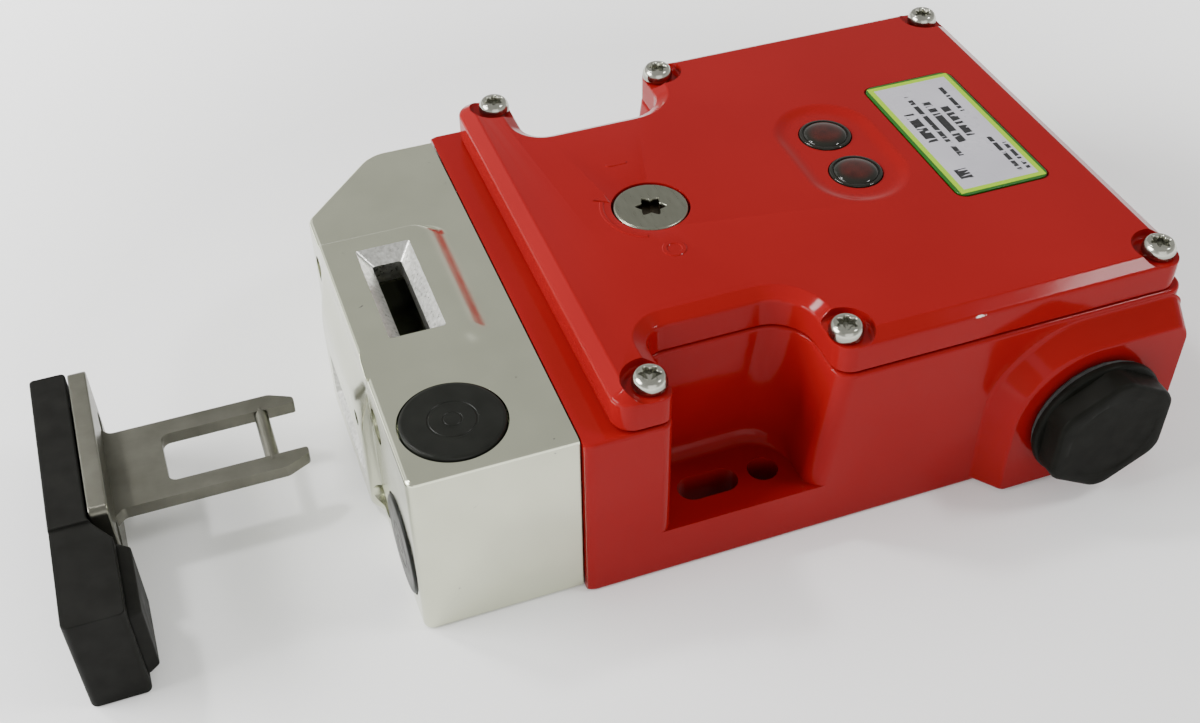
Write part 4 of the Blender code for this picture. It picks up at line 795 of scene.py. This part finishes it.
def release_marks():
    """Faint raised arc with an arrow head round the disc, with a plain stroke and ring at its two ends."""
    low, high = LID_TOP - 0.4, LID_TOP + MARK_RISE

    def turn(radius, start, end, steps=40):
        ring = []
        for k in range(steps + 1):
            a = math.radians(start + (end - start) * k / steps)
            ring.append((RELEASE_X + radius * math.cos(a), radius * math.sin(a)))
        return ring

    def raised(name, outline, top):
        return solid(name, loft([lifted(outline, "Z", low), lifted(outline, "Z", LID_TOP + 0.01),
                                 lifted(top, "Z", high)]))

    arc = raised("arc", turn(8.9, 152, 246) + turn(8.1, 246, 152),
                 turn(8.75, 152.5, 245.5) + turn(8.25, 245.5, 152.5))
    wide = turn(10.3, 151, 151.5, 2) + turn(8.5, 138, 137.5, 2)[:1] + turn(6.9, 152, 151.5, 2)[:1]
    small = turn(9.9, 150.5, 151, 2) + turn(8.5, 139.5, 139, 2)[:1] + turn(7.3, 151.5, 151, 2)[:1]
    tip = raised("tip", wide, small)
    bar = box_corners(RELEASE_X - 3.2, RELEASE_X + 0.8, 13.2, 14.3, 0.5)
    stroke = raised("stroke", rounded(bar), rounded(bar, 0.15))
    rim = LID_TOP + 0.01
    profile = [(2.1, low), (2.1, rim), (1.95, high), (1.35, high), (1.2, rim), (1.2, low)]
    ring = solid("ring", turned(profile, "Z", RELEASE_X - 0.6, -12.3, 48, True))
    return [arc, tip, stroke, ring]


PAD_STATIONS = [0.0] + [k / 16 for k in range(17)]


def s_curve(t):
    return (1 - math.cos(math.pi * t)) / 2


def top_pad():
    """Raised field round the top entry, with a long S-shaped flank on every side but the front."""
    top = HEAD_HEIGHT + PAD_RISE
    edge = 0.5
    rings = []
    for t in PAD_STATIONS:
        z = HEAD_HEIGHT + PAD_RISE * s_curve(t) if rings else HEAD_HEIGHT - 1.2
        out = 1 - t
        over = max(0.0, z - top + edge)
        front = HEAD_FRONT - 0.1 + edge - math.sqrt(edge * edge - over * over)
        near, far = PAD_NEAR + 0.85 - PAD_TOP_SLOPE * out, PAD_FAR + 0.5 + 1.9 * out
        back = PAD_BACK + PAD_BACK_SLOPE * out
        turn = 1.6 + 3.4 * out
        corners = [(front, near, 0.1), (back, near, turn), (back, far, turn), (front, far, 0.1)]
        rings.append(lifted(rounded(corners), "Z", z))
    return solid("top_pad", loft(rings))


def front_pad():
    """Field round the front entry, which swells out of the front face below the top edge."""
    high = HEAD_HEIGHT - 0.2
    rings = []
    for t in PAD_STATIONS:
        x = HEAD_FRONT - FRONT_RISE * s_curve(t) if rings else HEAD_FRONT + 3.0
        out = 1 - t
        near, far = PAD_NEAR - PAD_SLOPE * out, PAD_FAR + PAD_SLOPE * out
        low, crown = 0.9 + 0.9 * t, high - (high - FRONT_SHOULDER) * t
        corners = [(near, low, 2.0), (far, low, 2.0), (far, crown, 2.0 + 4 * t), (near, crown, 2.0 + 4 * t)]
        rings.append(lifted(rounded(corners), "X", x))
    return solid("front_pad", loft(rings))


def key_entry(axis, centre, face, inward):
    def ring(grow, level):
        wide, high = SLOT_HALF_WIDTH + grow, SLOT_HALF_HEIGHT + grow
        if axis == "X":
            corners = box_corners(-wide, wide, centre - high, centre + high, 0.5)
        else:
            corners = box_corners(centre - high, centre + high, -wide, wide, 0.5)
        return lifted(rounded(corners, steps=4), axis, level)

    slope = FUNNEL_SLOPE / FUNNEL_DEPTH
    mouth = ring(FUNNEL_SLOPE + slope, face - inward)
    return solid("entry", loft([mouth, *[ring(0.0, face + inward * deep) for deep in (FUNNEL_DEPTH, 8.5)]]))


def head_shell():
    half, rear = HEAD_HALF, HEAD_REAR + SPARE
    cut_x, cut_y = CUT_CORNER
    corners = [(HEAD_FRONT, -half, 1.6), (rear, -half, 0.6), (rear, half, 0.6),
               (HEAD_FRONT + cut_x, half, 7.0), (HEAD_FRONT, half - cut_y, 3.0)]
    head = solid("head_shell", softened(corners, "Z", 0.0, HEAD_HEIGHT, 0.8), CAST, ROUGH)
    seat_end = HEAD_FRONT + HEAD_SEAT_DEPTH
    cuts = [block("room", box_corners(*CAM_ROOM, 1.5), "X", HEAD_FRONT + ENTRY_WALL, HEAD_REAR + 3, 4),
            key_entry("X", ENTRY_Z, HEAD_FRONT - FRONT_RISE, 1),
            key_entry("Z", ENTRY_X, HEAD_HEIGHT + PAD_RISE, -1),
            rod("Z", CAP_RADIUS + GAP, HEAD_HEIGHT - CAP_DEPTH, HEAD_HEIGHT + 1, ENTRY_X, CAP_Y),
            rod("X", CAP_RADIUS + GAP, HEAD_FRONT - 1, HEAD_FRONT + CAP_DEPTH, CAP_Y, ENTRY_Z),
            rod("X", PIN_HOLE_RADIUS, HEAD_FRONT - 3, seat_end, *PIN_HOLE, 32)]
    for side in (-1, 1):
        for y, z in HEAD_SCREWS:
            cuts.append(rod("X", HEAD_SEAT_RADIUS, HEAD_FRONT - 3, seat_end, side * y, z, 48))
    machine(head, cuts, [top_pad(), front_pad()])
    break_edges(head, EDGE_BREAK)
    trim(head, HEAD_REAR, 1)
    for polygon in head.data.polygons:
        c = polygon.center / MM
        n = polygon.normal
        wide = abs(c.y) < SLOT_HALF_WIDTH + FUNNEL_SLOPE + 0.2
        in_front = wide and abs(c.z - ENTRY_Z) < 4.9 and -63.0 < c.x < -55.0 and abs(n.x) < 0.9
        on_top = wide and abs(c.x - ENTRY_X) < 4.9 and 30.6 < c.z < 36.2 and abs(n.z) < 0.9
        if in_front or on_top:
            polygon.material_index = 1
    return seat(head, "housing", "cast", "head_casting")


# Turned and moulded pieces

def sensor_cap(name, axis, level, outward, a, b, node):
    r = CAP_RADIUS
    heights = [(r - 0.3, -3.0), (r, -2.7), (r, 0.0), (r - 0.05, 0.20), (r - 0.16, 0.36), (r - 0.36, 0.46),
               (r - 0.7, 0.50), (4.05, 0.52), (3.95, 0.44), (3.75, 0.44), (3.65, 0.52), (1.65, 0.53),
               (1.55, 0.46), (1.40, 0.46), (1.30, 0.53), (0.2, 0.53)]
    profile = [(radius, level + outward * h) for radius, h in heights]
    cap = even(solid(name, turned(profile, axis, a, b), BLACK), 24)
    return seat(cap, "housing", "black", node)


def star(radius, reach, steps):
    """Outline of the disc's star recess, sampled at equal angles."""
    out = []
    for k in range(steps):
        a = math.tau * k / steps
        phase = ((a + 0.3) * STAR_POINTS / math.tau) % 1.0
        blade = abs(phase - 0.5) * 2
        r = radius + (reach - radius) * blade ** 1.3
        out.append((RELEASE_X + r * math.cos(a), r * math.sin(a)))
    return out


def release_disc():
    steps = 96
    r = RELEASE_RADIUS
    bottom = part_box("release_spindle")[0].z / MM
    pin = [(PIN_RADIUS, bottom), (PIN_RADIUS, SHAFT_LOW - 0.05)]
    rings = discs(pin, "Z", RELEASE_X - PIN_OFFSET, 0, steps)
    rings += discs([(SHAFT_RADIUS, SHAFT_LOW), (SHAFT_RADIUS, 39.1), (r - 0.1, 39.1), (r, 39.2),
                    (r, LID_TOP - 0.42), (r - 0.08, LID_TOP - 0.22), (r - 0.26, LID_TOP - 0.07),
                    (r - 0.52, LID_TOP), (r - 0.7, LID_TOP)], "Z", RELEASE_X, 0, steps)
    inner, outer = STAR
    for grow, z in ((0.12, LID_TOP), (0.0, LID_TOP - 0.12), (0.0, LID_TOP - 1.3)):
        rings.append(lifted(star(inner + grow, outer + grow, steps), "Z", z))
    disc = even(solid("release_disc", loft(rings), DISC_STEEL), 40)
    return seat(disc, "release", "steel", "release_spindle")


def lamp_lens(number, y):
    r = LAMP_RADIUS + 0.12
    dish = LID_TOP - DISH_DEPTH
    profile = [(r - 0.2, LID_CEILING), (r, LID_CEILING + 0.2), (r, dish + 0.10), (r - 0.08, dish + 0.26),
               (r - 0.3, dish + 0.32), (r - 0.55, dish + 0.30), (r - 0.62, dish + 0.12),
               (r - 0.75, dish + 0.10)]
    for a in quarter(12)[1:]:
        profile.append(((r - 0.8) * math.cos(a) + 0.03, dish + 0.10 + 0.88 * math.sin(a)))
    lens = even(solid(f"lens_{number}", turned(profile, "Z", LAMP_X, y), LENS))
    return seat(lens, "housing", "smoke", f"lamp_lens_{number}")


def label_plate():
    stations = [(0.05, 41.1), (0.0, 41.15), (0.0, 41.38), (0.05, 41.47), (0.16, 41.5)]
    rings = plates(box_corners(*LABEL, 1.8), "Z", stations)
    plate = even(solid("label_print", loft(rings), PRINTED), 60)
    return seat(plate, "housing", "label", "label_plate")


def hexagon(flats, corner, x, y, steps):
    """Hexagon whose corners are turned off to a circle, with a short blend between the two."""
    blend = 0.35
    out = []
    for k in range(steps):
        a = math.tau * k / steps
        off = (a + math.pi / 6) % (math.pi / 3) - math.pi / 6
        short = corner - flats / 2 / math.cos(off)
        if -blend < short <= blend:
            short = (short + blend) ** 2 / (4 * blend)
        r = corner - max(short, 0.0)
        out.append((x + r * math.cos(a), y + r * math.sin(a)))
    return out


def conduit_plug(label, side):
    steps = 144
    base = BODY_HALF + BOSS_HEIGHT + GAP + WASHER + GAP
    r = FLANGE_RADIUS
    inner_end = BODY_HALF + BOSS_HEIGHT - THREAD_LENGTH
    top = base + FLANGE + HEX_HEIGHT

    def round_part(*profile):
        return discs([(radius, side * y) for radius, y in profile], "Y", BOSS_X, BOSS_Z, steps)

    rings = round_part((THREAD_RADIUS - 0.8, inner_end), (THREAD_RADIUS, inner_end + 0.8),
                       (THREAD_RADIUS, base), (r - 0.25, base), (r - 0.07, base + 0.07),
                       (r, base + 0.25), (r, base + FLANGE - 0.5),
                       (r - 0.12, base + FLANGE - 0.2), (r - 0.4, base + FLANGE))
    for inset, y in ((0.0, base + FLANGE + 0.02), (0.0, top - 0.75), (0.12, top - 0.40), (0.38, top - 0.14),
                     (0.75, top), (1.6, top)):
        outline = hexagon(HEX_FLATS - 2 * inset, r - 0.3 - inset, BOSS_X, BOSS_Z, steps)
        rings.append(lifted(outline, "Y", side * y))
    rings += round_part((8.4, top), (8.1, top - 0.12), (1.0, top - 0.12))
    plug = even(solid(f"plug_{label}", loft(rings), PLUG), 45)
    return seat(plug, "housing", "black", f"conduit_plug_{label}")


# Key and holder

def key_plate():
    w, taper, window = TONGUE_HALF, KEY_TIP - 4.1, KEY_TIP - 23.5
    fillet = 1.3
    corners = box_corners(-KEY_PLATE_HALF, KEY_PLATE_HALF, 0.0, KEY_HEIGHT, 1.4)
    plate = solid("key_body", softened(corners, "X", KEY_BACK, KEY_FACE, 0.3, 3), KEY)
    near = [(KEY_BACK + 1.0, -w - fillet, 0.2), (KEY_FACE + 0.1, -w - fillet, 0.2),
            (KEY_FACE + fillet, -w, fillet), (taper, -w, 2.0), (KEY_TIP, -7.3, 0.9),
            (KEY_TIP, -WINDOW_HALF, 0.5), (window, -WINDOW_HALF, 1.4)]
    fork = near + [(x, -y, r) for x, y, r in reversed(near)]
    tongue = block("tongue", fork, "Z", ENTRY_Z - TONGUE_HALF_THICK, ENTRY_Z + TONGUE_HALF_THICK, 8)
    bar = rod("Y", CROSSBAR_RADIUS, -6.6, 6.6, CROSSBAR_X, ENTRY_Z, 40)
    machine(plate, key_holes(KEY_BACK, KEY_FACE), [tongue, bar])
    break_edges(plate, 0.28)
    return seat(plate, "key", "key_metal", "actuator_key", "key_crossbar")


def key_holes(back, face):
    return [rod("X", KEY_HOLE_RADIUS, back - 1, face + 1, side * KEY_HOLE_Y, ENTRY_Z, 40) for side in (-1, 1)]


def holder():
    shoulder = -KEY_PLATE_HALF - GAP
    outline = [(HOLDER_BACK, HOLDER_NEAR, 1.2), (KEY_FACE, HOLDER_NEAR, 1.0), (KEY_FACE, shoulder - 5.4, 0.6),
               (HOLDER_FACE, shoulder - 0.2, 0.4), (HOLDER_FACE, KEY_PLATE_HALF, 0.8),
               (HOLDER_BACK, KEY_PLATE_HALF, 0.8)]
    shell = solid("holder_shell", softened(outline, "Z", 0.0, KEY_HEIGHT, 0.35, 3), HOLDER)
    step = box_corners(HOLDER_BACK - 2, KEY_FACE + 2, HOLDER_NEAR - 2, shoulder - 1.0, 0.5)
    cuts = [block("step", step, "Z", KEY_HEIGHT - 0.6, KEY_HEIGHT + 2),
            block("tag_room", grown(TAG, GAP, 1.5), "X", KEY_FACE - 5.3, KEY_FACE + 2)]
    machine(shell, cuts + key_holes(HOLDER_BACK, HOLDER_FACE))
    break_edges(shell, EDGE_BREAK)
    seat(shell, "key", "black", "tag_holder")
    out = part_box("coded_tag")[1].x / MM
    stations = [(0.2, KEY_FACE - 5.0), (0.0, KEY_FACE - 4.8), (0.0, KEY_FACE + 0.1), (0.08, KEY_FACE + 0.4),
                (0.85, out - 0.25), (1.05, out - 0.06), (1.35, out)]
    tag = solid("tag_block", loft(plates(box_corners(*TAG, 1.4), "X", stations)), HOLDER)
    return seat(even(tag, 60), "key", "grey", "coded_tag")


# Repeated pieces, made by node trees

def tree_with(name, inputs, *kinds):
    """Geometry tree with named inputs; returns it with its input, its output and its other nodes."""
    tree = bpy.data.node_groups.new(name, "GeometryNodeTree")
    for label, kind in {"Geometry": "Geometry", **inputs}.items():
        tree.interface.new_socket(label, in_out="INPUT", socket_type="NodeSocket" + kind)
    tree.interface.new_socket("Geometry", in_out="OUTPUT", socket_type="NodeSocketGeometry")
    return tree, *[tree.nodes.new(kind) for kind in ("NodeGroupInput", "NodeGroupOutput", *kinds)]


def wire(tree, *runs):
    """Links the nodes of a tree; each run is a node, its output, the next node and its input."""
    for source, output, target, socket in runs:
        tree.links.new(source.outputs[output], target.inputs[socket])


def coat_and_end(tree, shape, output, given, result):
    """Makes copies real and gives them the finish that was asked for."""
    real = tree.nodes.new("GeometryNodeRealizeInstances")
    coat = tree.nodes.new("GeometryNodeSetMaterial")
    wire(tree, (shape, output, real, "Geometry"), (real, "Geometry", coat, "Geometry"),
         (given, "Finish", coat, "Material"), (coat, "Geometry", result, "Geometry"))
    return tree


def run_tree(obj, tree, values):
    modifier = obj.modifiers.new(tree.name, "NODES")
    modifier.node_group = tree
    for item in tree.interface.items_tree:
        if item.in_out == "INPUT" and item.name in values:
            modifier[item.identifier] = values[item.name]
    return flatten(obj)


def screw_tree():
    """Copies one screw to each point and turns each by its own seeded angle about the given axis."""
    tree, given, result, info, copies, angle, turn = tree_with(
        "screw_set", {"Screw": "Object", "Axis": "Vector", "Seed": "Int", "Finish": "Material"},
        "GeometryNodeObjectInfo", "GeometryNodeInstanceOnPoints", "FunctionNodeRandomValue",
        "FunctionNodeAxisAngleToRotation")
    angle.inputs["Max"].default_value = 1.0
    wire(tree, (given, "Geometry", copies, "Points"), (given, "Screw", info, "Object"),
         (info, "Geometry", copies, "Instance"), (given, "Seed", angle, "Seed"),
         (given, "Axis", turn, "Axis"), (angle, 1, turn, "Angle"), (turn, "Rotation", copies, "Rotation"))
    return coat_and_end(tree, copies, "Instances", given, result)


def lobes(radius, steps):
    """Outline with six soft lobes."""
    out = []
    for k in range(steps):
        a = math.tau * k / steps
        r = radius + 0.28 * math.cos(6 * math.tau * k / steps)
        out.append((r * math.cos(a), r * math.sin(a)))
    return out


def pan_screw():
    """Pan head with a six-lobe recess and a threaded shank, seated at the origin."""
    steps, turns = 60, 14
    r, h = HEAD_RADIUS, HEAD_HIGH
    low, run = 1.6 - SCREW_LENGTH, SCREW_LENGTH - 2.2
    profile = [(SCREW_RADIUS, 1.5 - SCREW_LENGTH)]
    for k in range(turns * 2):
        profile.append((SCREW_RADIUS - 0.18 * (k % 2), low + run * k / (turns * 2)))
    profile += [(SCREW_RADIUS, -0.3), (SCREW_RADIUS, 0.0), (r - 0.2, 0.0), (r - 0.05, 0.06), (r, 0.22)]
    top_angle = math.radians(68)
    for k in range(1, 9):
        a = top_angle * k / 8
        profile.append((r - 1.2 * (1 - math.cos(a)), 0.5 + (h - 0.5) * math.sin(a) / math.sin(top_angle)))
    rings = discs(profile, "Z", steps=steps)
    recess = ((1.58, 0.0), (1.46, 0.14), (1.38, 1.35))
    rings += [lifted(lobes(radius, steps), "Z", h - down) for radius, down in recess]
    rings += discs([(0.3, h - 1.7)], "Z", steps=steps)
    return even(solid("pan_screw", loft(rings)), 40)


def socket_screw():
    """Cylinder head with a hexagon socket, along -X, seated at the origin."""
    steps = 48
    rings = discs([(1.5, 28.8), (1.5, -0.3), (2.6, -0.3), (2.75, -0.45), (2.75, -2.9), (2.68, -3.12),
                   (2.45, -3.3), (1.9, -3.3)], "X", steps=steps)
    for flats, x in ((2.75, -3.3), (2.5, -3.15), (2.5, -1.7)):
        rings.append(lifted(hexagon(flats, 9, 0, 0, steps), "X", x))
    return even(solid("socket_screw", loft(rings)), 40)


def points(name, places):
    bm = bmesh.new()
    for place in places:
        bm.verts.new(place)
    return solid(name, bm)


def screw_sets():
    tree = screw_tree()
    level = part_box("lid_screw_1")[1].z / MM - HEAD_HIGH
    on_lid = [(x, side * SCREW_Y, level) for side in (-1, 1) for x in SCREW_X]
    on_head = [(HEAD_FRONT + HEAD_SEAT_DEPTH, side * y, z) for side in (-1, 1) for y, z in HEAD_SCREWS]
    for group, pattern, axis, seed, places in (("lid", pan_screw, (0.0, 0.0, 1.0), 4, on_lid),
                                               ("head", socket_screw, (1.0, 0.0, 0.0), 9, on_head)):
        screw = pattern()
        made = run_tree(points(f"{group}_screw_set", places), tree,
                        {"Screw": screw, "Axis": axis, "Seed": seed, "Finish": STEEL})
        seat(made, "housing", "steel", *[f"{group}_screw_{n + 1}" for n in range(len(places))])
        bpy.data.objects.remove(screw)


def coil_tree():
    """Wire wound at a fixed radius about +X, with its turns, length and thickness as inputs."""
    tree, given, result, spiral, ring, tube, move = tree_with(
        "wound_wire", {"Turns": "Float", "Radius": "Float", "Length": "Float", "Wire": "Float",
                       "Start": "Vector", "Steps": "Int", "Finish": "Material"},
        "GeometryNodeCurveSpiral", "GeometryNodeCurvePrimitiveCircle", "GeometryNodeCurveToMesh",
        "GeometryNodeTransform")
    ring.inputs["Resolution"].default_value = 8
    tube.inputs["Fill Caps"].default_value = True
    move.inputs["Rotation"].default_value = (0.0, math.radians(90), 0.0)
    wire(tree, (given, "Steps", spiral, "Resolution"), (given, "Turns", spiral, "Rotations"),
         (given, "Radius", spiral, "Start Radius"), (given, "Radius", spiral, "End Radius"),
         (given, "Length", spiral, "Height"), (given, "Wire", ring, "Radius"),
         (spiral, "Curve", tube, "Curve"), (ring, "Curve", tube, "Profile Curve"),
         (tube, "Mesh", move, "Geometry"), (given, "Start", move, "Translation"))
    return coat_and_end(tree, move, "Geometry", given, result)


def wound_piece(name, node, slot, look, turns, thick, steps, *replaced):
    """Wire wound to the size of a CAD node."""
    low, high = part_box(node)
    radius = thick * MM
    sizes = {"Turns": turns, "Radius": (high.z - low.z) / 2 - radius, "Length": high.x - low.x - 2 * radius,
             "Wire": radius, "Start": (low.x + radius, 0.0, (low.z + high.z) / 2), "Steps": steps,
             "Finish": look}
    wound = run_tree(points(name, [(0, 0, 0)]), COIL_TREE, sizes)
    wound.data.shade_smooth()
    return seat(wound, "housing", slot, *replaced)


COIL_TREE = coil_tree()


# Kept nodes

KEPT = {
    RUBBER: ("lid_gasket", "head_gasket", "release_seal", "plug_washer_near", "plug_washer_far"),
    GREY: ("top_sensor_coil", "front_sensor_coil", "contact_block_near", "contact_block_far",
           "terminal_block"),
    BLACK: ("coil_bobbin",),
    CAST: ("solenoid_frame",),
    STEEL: ("lock_bolt", "plunger"),
    DARK_STEEL: ("cam_rotor", "cam_axle"),
    COPPER: ("coil_winding",),
    BRASS: [f"terminal_screw_{n}" for n in range(1, 5)],
    LAMP: ("lamp_1", "lamp_2"),
    BOARD: ("lamp_board",),
}


def repaint():
    for look, nodes in KEPT.items():
        for node in nodes:
            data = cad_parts[node].data
            data.materials.clear()
            data.materials.append(look)


# Stage

def floor_and_light():
    bm = bmesh.new()
    bmesh.ops.create_grid(bm, x_segments=1, y_segments=1, size=3000)
    floor = solid("floor", bm)
    look = Finish("floor", (0.86, 0.86, 0.86), 0.0, 0.6)
    look.color(look.tones(look.noise(120, 2), (0.85, 0.85, 0.85), (0.88, 0.88, 0.88)))
    # Painted light: the floor glows, faintly next to the part and more strongly further out, so it brightens
    # towards the edges of the frame.
    look.set({"Emission Color": (1.0, 1.0, 1.0, 1.0)})
    glow = look.spread(look.vector("LENGTH", look.place)["Value"], 0.1, 1.6, 0.12, 0.32)
    look.link(glow, look.shader.inputs["Emission Strength"])
    floor.data.materials.append(look.material)
    floor.location.z = -0.05 * MM
    world = bpy.data.worlds.new("studio")
    world.use_nodes = True
    tree = world.node_tree
    aim = tree.nodes.new("ShaderNodeSeparateXYZ")
    tree.links.new(tree.nodes.new("ShaderNodeTexCoord").outputs["Generated"], aim.inputs[0])
    fade = tree.nodes.new("ShaderNodeMapRange")
    fade.interpolation_type = "SMOOTHSTEP"
    for socket, value in (("From Min", 0.0), ("From Max", 0.45), ("To Min", 1.10), ("To Max", 0.66)):
        fade.inputs[socket].default_value = value
    tree.links.new(aim.outputs["Z"], fade.inputs["Value"])
    sky = tree.nodes["Background"]
    sky.inputs["Color"].default_value = (1.0, 1.0, 0.97, 1.0)
    tree.links.new(fade.outputs["Result"], sky.inputs["Strength"])
    bpy.context.scene.world = world
    for name, spot, size, power in (("overhead", (0.60, -0.27, 0.79), (0.22, 0.11), 3.2),
                                    ("far_window", (-0.50, 0.90, 0.60), (0.7, 0.5), 1.0),
                                    ("small_window", (-0.40, 0.36, 0.80), (0.12, 0.10), 3.2),
                                    ("near_fill", (-0.10, -0.90, 0.30), (0.8, 0.5), 2.0),
                                    ("front", (-0.68, 0.12, 0.36), (0.5, 0.3), 10.0)):
        lamp = bpy.data.lights.new(name, "AREA")
        lamp.shape = "RECTANGLE"
        lamp.size, lamp.size_y = size
        lamp.energy = power
        obj = bpy.data.objects.new(name, lamp)
        obj.location = spot
        obj.rotation_euler = (Vector((0, 0, 0.02)) - Vector(spot)).to_track_quat("-Z", "Y").to_euler()
        bpy.context.scene.collection.objects.link(obj)


def camera():
    """Same viewpoint as the photograph, from a fit of the part's known points."""
    turn = Vector((2.284, -0.409, 0.166))
    to_view = Matrix.Rotation(turn.length, 3, turn.normalized())
    axes = Matrix((to_view[0], -to_view[1], -to_view[2])).transposed()
    data = bpy.data.cameras.new("camera")
    data.sensor_width = 36.0
    data.lens = 45.08
    data.clip_start = 0.01
    obj = bpy.data.objects.new("camera", data)
    obj.matrix_world = Matrix.Translation(Vector((-84.4, -193.0, 196.5)) * MM) @ axes.to_4x4()
    bpy.context.scene.collection.objects.link(obj)
    bpy.context.scene.camera = obj


body_shell()
lid_shell()
head_shell()
sensor_cap("top_cap", "Z", HEAD_HEIGHT, 1, ENTRY_X, CAP_Y, "top_sensor_cap")
sensor_cap("front_cap", "X", HEAD_FRONT, -1, CAP_Y, ENTRY_Z, "front_sensor_cap")
release_disc()
for number, y in enumerate(LAMP_Y, 1):
    lamp_lens(number, y)
label_plate()
conduit_plug("near", -1)
conduit_plug("far", 1)
key_plate()
holder()
screw_sets()
wound_piece("spring_wire", "return_spring", "steel", STEEL, 4.0, 0.45, 28, "return_spring")
wound_piece("winding_wire", "coil_winding", "copper", COPPER, 40.0, 0.36, 40)
repaint()
floor_and_light()
camera()
